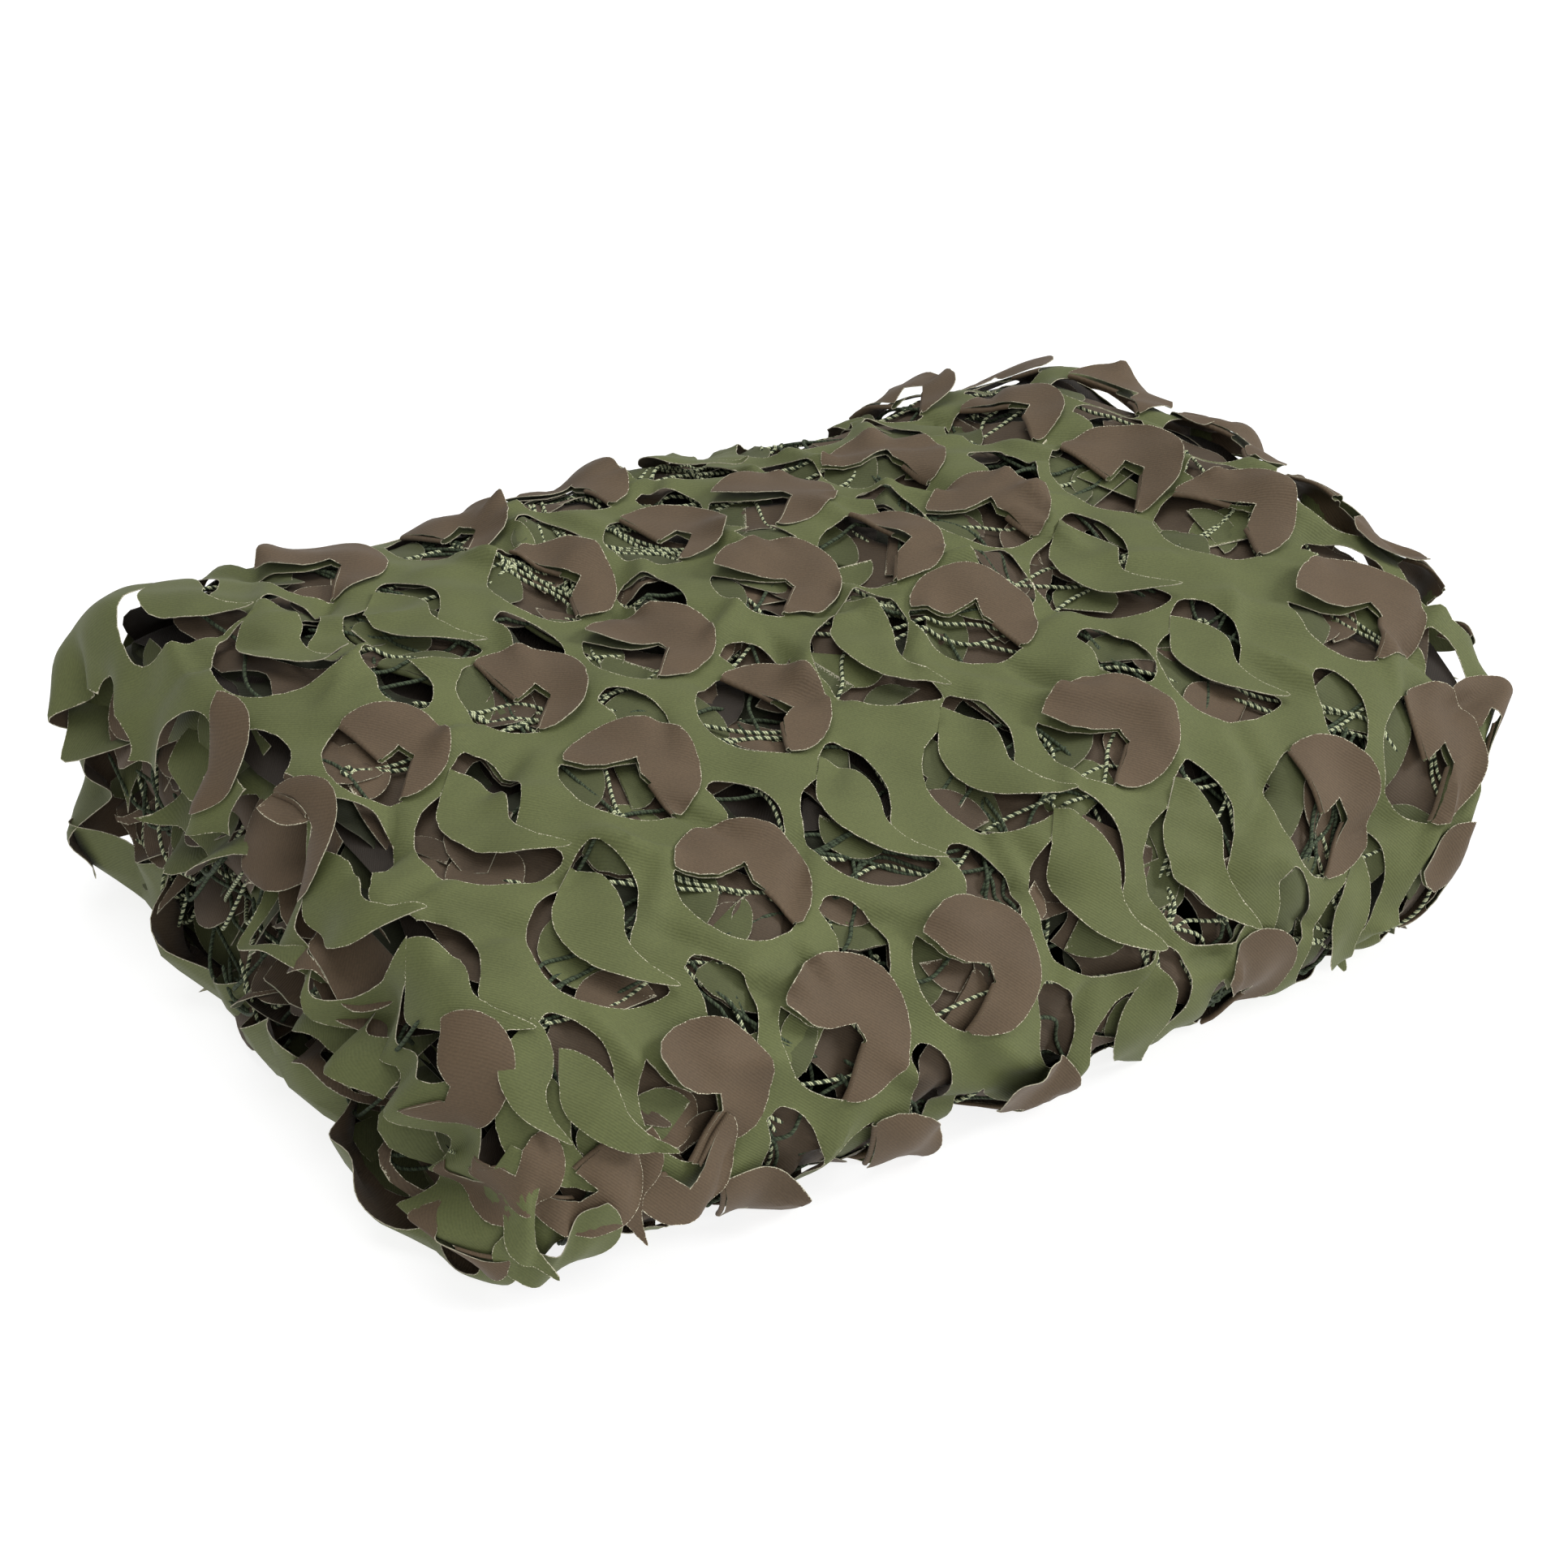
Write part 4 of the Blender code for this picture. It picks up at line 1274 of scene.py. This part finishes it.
# ---- The cord net -------------------------------------------------------------------------------
# Twisted cord of two strands, most of it one dark green and one pale green, some dark all through. It is
# knotted into a net behind the cloth and lies loose between the folded layers, where the holes show it.
CORD_RADIUS = 0.00095
CORD_TWIST = 0.0038      # length of one turn of the strands
CORD_SIDES = 6
CORD_STEP = 0.0035
CORD_DARK = (0.030, 0.042, 0.022)
CORD_PALE = (0.58, 0.62, 0.38)
CORD_GREEN = (0.062, 0.085, 0.045)
NET_PITCH = 0.068
NET_LAYERS = [
    # depth in mm, shift along u and s in mm, number of dark cords in every five
    (2.6, 12, 8, 2),
    (7.8, 44, 37, 3),
]
NET_SIDE = 0.250
NET_FIRST, NET_LAST = FRONT_FOOT + 0.025, outer.end - 0.05
KNOT_RADIUS = 0.0022
STRANDS_APART = 0.0016
BUNCH_MIDDLES = (0.0, 0.040)         # back right of a repeat's middle, and how often one lies there
BUNCH_SHARES = (0.7, 0.9)
BUNCH_REACHES = (-0.046, -0.022, 0.0, 0.022, 0.046)
END_CORDS = 20           # slack loops at each end, in each net


def cord_finish(name, first, second):
    """Two strands twisted together, with painted shade in the groove between them."""
    finish = Finish(name, Roughness=0.75, Specular_IOR_Level=0.3)
    chart = {"Vector": finish.place("UV")}
    across = finish.step("ShaderNodeSeparateXYZ", {}, chart)
    along = finish.step("ShaderNodeSeparateXYZ", {}, chart, output=1)
    strand = (across + along).fraction()
    light = ((strand - 0.5).unsigned() * 2).ramp(0.38, 0.62)
    groove = ((strand * 2).fraction() - 0.5).unsigned().ramp(0.5, 0.30)
    blend = finish.blend(light, rgba(first), rgba(second))
    # painted shade: towards the groove between the strands the colour darkens, most of the way to a third
    # of the dark strand's colour
    shaded = finish.blend(groove * 0.75 + 0.25, rgba(first, 0.35), blend)
    return finish.tune(Base_Color=shaded, Normal=finish.bump(groove, 0.6, 0.0006))


CORD_FINISHES = [cord_finish("pale and dark cord", CORD_DARK, CORD_PALE),
                 cord_finish("dark cord", CORD_DARK, CORD_GREEN)]


class Cords:
    """Cords that go into one piece: round tubes along lines of points."""

    def __init__(self):
        self.points, self.faces, self.charts, self.slots = [], [], [], []
        self.count = 0

    def add(self, line, dark):
        along = np.gradient(line, axis=0)
        along /= np.linalg.norm(along, axis=1, keepdims=True) + 1e-12
        side = np.cross(along, (0.0, 0.0, 1.0) if abs(along[:, 2]).mean() < 0.8 else (1.0, 0.0, 0.0))
        side /= np.linalg.norm(side, axis=1, keepdims=True) + 1e-12
        over = np.cross(side, along)
        steps = np.linalg.norm(np.diff(line, axis=0), axis=1)
        turns = np.concatenate([[0.0], np.cumsum(steps)]) / CORD_TWIST
        angles = (np.arange(CORD_SIDES) * 2 * math.pi / CORD_SIDES)[None, :, None]
        radius = np.full((len(line), 1, 1), CORD_RADIUS)
        radius[[0, -1]] *= 0.5
        ring = np.cos(angles) * side[:, None, :] + np.sin(angles) * over[:, None, :]
        self.points.append((line[:, None, :] + ring * radius).reshape(-1, 3))
        for k in range(len(line) - 1):
            for j in range(CORD_SIDES):
                a = self.count + k * CORD_SIDES + j
                b = self.count + k * CORD_SIDES + (j + 1) % CORD_SIDES
                self.faces.append((a, b, b + CORD_SIDES, a + CORD_SIDES))
                left, right = j / CORD_SIDES, (j + 1) / CORD_SIDES
                self.charts.extend([(left, turns[k]), (right, turns[k]), (right, turns[k + 1]),
                                    (left, turns[k + 1])])
        for k, order in ((0, -1), (len(line) - 1, 1)):
            cap = range(self.count + k * CORD_SIDES, self.count + (k + 1) * CORD_SIDES)
            self.faces.append(tuple(cap[::order]))
            self.charts.extend((j / CORD_SIDES, turns[k]) for j in range(CORD_SIDES))
        self.slots.extend([int(dark)] * ((len(line) - 1) * CORD_SIDES + 2))
        self.count += len(line) * CORD_SIDES

    def piece(self, name):
        points = np.concatenate(self.points)
        piece = new_piece(name, points, self.faces, self.slots, CORD_FINISHES, self.charts)
        piece.data.polygons.foreach_set("use_smooth", [True] * len(self.faces))
        return piece


def cord_line(points):
    """A smooth cord through chart points, (u, s, lift), evenly stepped."""
    u, s, lift = np.array(spaced(smooth_line(points), CORD_STEP)).T
    placed = lay_under(u, s, lift + creased(u, s))
    placed[:, 2] = np.maximum(placed[:, 2], 2 * CORD_RADIUS)
    return placed


def add_bunch(cords, centre):
    """One to four cords that run side by side across a hole, and wander apart."""
    turn, dark = chance.uniform(0, math.pi), chance.uniform() < 0.5
    along = heading(turn)
    off = np.array([-along[1], along[0]])
    start = np.array(centre) + off * chance.normal(0, 0.007)
    for strand in range(int(chance.integers(1, 5))):
        bends = chance.normal(0, 0.004, 5) + 0.0024 * strand
        line = [(*(start + along * far + off * bend), -0.0030 + 0.0011 * math.sin(strand * 2 + k))
                for k, (far, bend) in enumerate(zip(BUNCH_REACHES, bends))]
        cords.add(cord_line(line), dark)


def add_hanging(cords, side):
    """A slack loop of cord between two layers' ends."""
    y, z, reach = chance.uniform(-0.13, 0.14), chance.uniform(0.03, 0.13), chance.uniform(0.018, 0.05)
    least = END_BEND + (0.008 if side < 0 else 0.0)
    points = []
    for part in (-1.0, -0.5, 0.0, 0.5, 1.0):
        x = side * (least + chance.uniform(0.002, 0.022))
        points.append((x, y + reach * part + chance.normal(0, 0.004),
                       max(0.006, z - reach * (1 - part ** 2) + chance.normal(0, 0.004))))
    line = np.array(spaced(smooth_line(points), CORD_STEP))
    cords.add(settle(*line.T), chance.uniform() < 0.6)


def through(knots):
    """The path of a slack cord from knot to knot."""
    path = []
    for a, b in zip(knots[:-1], knots[1:]):
        bow = chance.normal(0, 0.010)
        off = (b[1] - a[1], a[0] - b[0], 0.0)
        reach = math.hypot(*off) + 1e-9
        path.extend([a, tuple((a[n] + b[n]) / 2 + bow * off[n] / reach for n in range(3))])
    return [*path, knots[-1]]


nets = []
for number, (depth, shift_u, shift_s, dark) in enumerate(NET_LAYERS):
    cords = Cords()
    columns = np.arange(-NET_SIDE + shift_u / 1000, NET_SIDE, NET_PITCH)
    rows = np.arange(NET_FIRST + shift_s / 1000, NET_LAST, NET_PITCH)
    knots = {}
    for j, s in enumerate(rows):
        for k, u in enumerate(columns):
            knots[k, j] = (float(np.clip(u + chance.normal(0, 0.008), -NET_SIDE, NET_SIDE)),
                           float(s + chance.normal(0, 0.008)),
                           -depth / 1000 + chance.uniform(-0.0008, 0.0008))
    for strand in range(2):
        apart = STRANDS_APART * (strand - 0.5)
        for k in range(strand, len(columns), strand + 1):
            path = through([knots[k, j] for j in range(len(rows))])
            path = [(u + apart, s, lift) for u, s, lift in path]
            cords.add(cord_line(path), (k + strand) % 5 < dark)
        for j in range(0, len(rows), strand + 1):
            path = through([knots[k, j] for k in range(len(columns))])
            path = [(u, s + apart, lift - 0.0004) for u, s, lift in path]
            cords.add(cord_line(path), (2 * j + strand) % 5 < dark)
    for (k, j), (u, s, lift) in knots.items():
        turn = chance.uniform(0, math.pi)
        loop = [(u + KNOT_RADIUS * math.cos(turn + a), s + KNOT_RADIUS * math.sin(turn + a),
                 lift + 0.0007 * math.sin(2 * a)) for a in np.linspace(0, 2.2 * math.pi, 9)]
        cords.add(cord_line(loop), (k + 2 * j) % 5 < dark)
    if number == 0:
        for *_, (u, s, _, _) in repeats:
            for offset, share in zip(BUNCH_MIDDLES, BUNCH_SHARES):
                inside = abs(u + offset) < NET_SIDE - 0.045
                inside = inside and NET_FIRST + 0.03 < s - offset < NET_LAST - 0.03
                if inside and chance.uniform() < share:
                    add_bunch(cords, (u + offset, s - offset))
    for side in (-1, 1):
        for _ in range(END_CORDS):
            add_hanging(cords, side)
    nets.append(cords.piece(f"cord_net_{number + 1}"))

# ---- What stands for what -----------------------------------------------------------------------
# Every piece goes with the one body, root, and the two plain solids, the cloth and the cord net, are
# hidden.
for piece in (cloth_piece, leaves_piece, *under_pieces, *end_pieces, *nets):
    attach(piece, "root")
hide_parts("cloth")
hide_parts("cord_net")

# ---- Floor, light and camera --------------------------------------------------------------------
# A plain pale floor under a white sky, three broad soft lights, and the camera where the photograph was
# taken from.
CAMERA_TURN, CAMERA_RISE = -33.24, 29.95
CAMERA_FAR = 1.6251
CAMERA_AT = (0.0051, 0.0289, 0.05)
CAMERA_LENS = 74.08
SKY_STRENGTH = 0.36
WHITE = (1.0, 1.0, 1.0)

bpy.ops.mesh.primitive_plane_add(size=14.0, location=(0, 0, -0.0004))
floor = bpy.context.object
floor.name = "floor"
floor_finish = Finish("pale floor", Roughness=0.9, Specular_IOR_Level=0.1, Emission_Color=rgba(WHITE),
                      Emission_Strength=0.82)
grain = floor_finish.noise(floor_finish.place("Object"), 3.0)
pale = floor_finish.blend(grain, rgba(WHITE, 0.29), rgba(WHITE, 0.31))
floor.data.materials.append(floor_finish.tune(Base_Color=pale))

world = bpy.data.worlds.new("studio")
bpy.context.scene.world = world
world.use_nodes = True
sky = world.node_tree.nodes["Background"].inputs
sky["Color"].default_value = rgba(WHITE)
sky["Strength"].default_value = SKY_STRENGTH


def soft_light(name, place, spread, strength):
    """A broad light from far off, from this direction."""
    lamp = bpy.data.lights.new(name, "SUN")
    lamp.angle = math.radians(spread)
    lamp.energy = strength
    thing = bpy.data.objects.new(name, lamp)
    bpy.context.scene.collection.objects.link(thing)
    thing.location = place
    thing.rotation_euler = (-Vector(place)).to_track_quat("-Z", "Y").to_euler()


soft_light("light from above", (0.1, 0.1, 1.6), 50, 1.45)
soft_light("light from the right", (1.6, -0.9, 1.1), 20, 1.75)
soft_light("light from the front", (-0.3, -1.6, 0.9), 36, 0.85)

turn, rise = math.radians(CAMERA_TURN), math.radians(CAMERA_RISE)
back = Vector((math.sin(turn) * math.cos(rise), -math.cos(turn) * math.cos(rise), math.sin(rise)))
view = bpy.data.cameras.new("camera")
view.lens = CAMERA_LENS
view.sensor_width = 36.0
camera = bpy.data.objects.new("camera", view)
bpy.context.scene.collection.objects.link(camera)
camera.location = Vector(CAMERA_AT) + back * CAMERA_FAR
camera.rotation_euler = (-back).to_track_quat("-Z", "Y").to_euler()
bpy.context.scene.camera = camera
bpy.context.scene.view_settings.view_transform = "Standard"
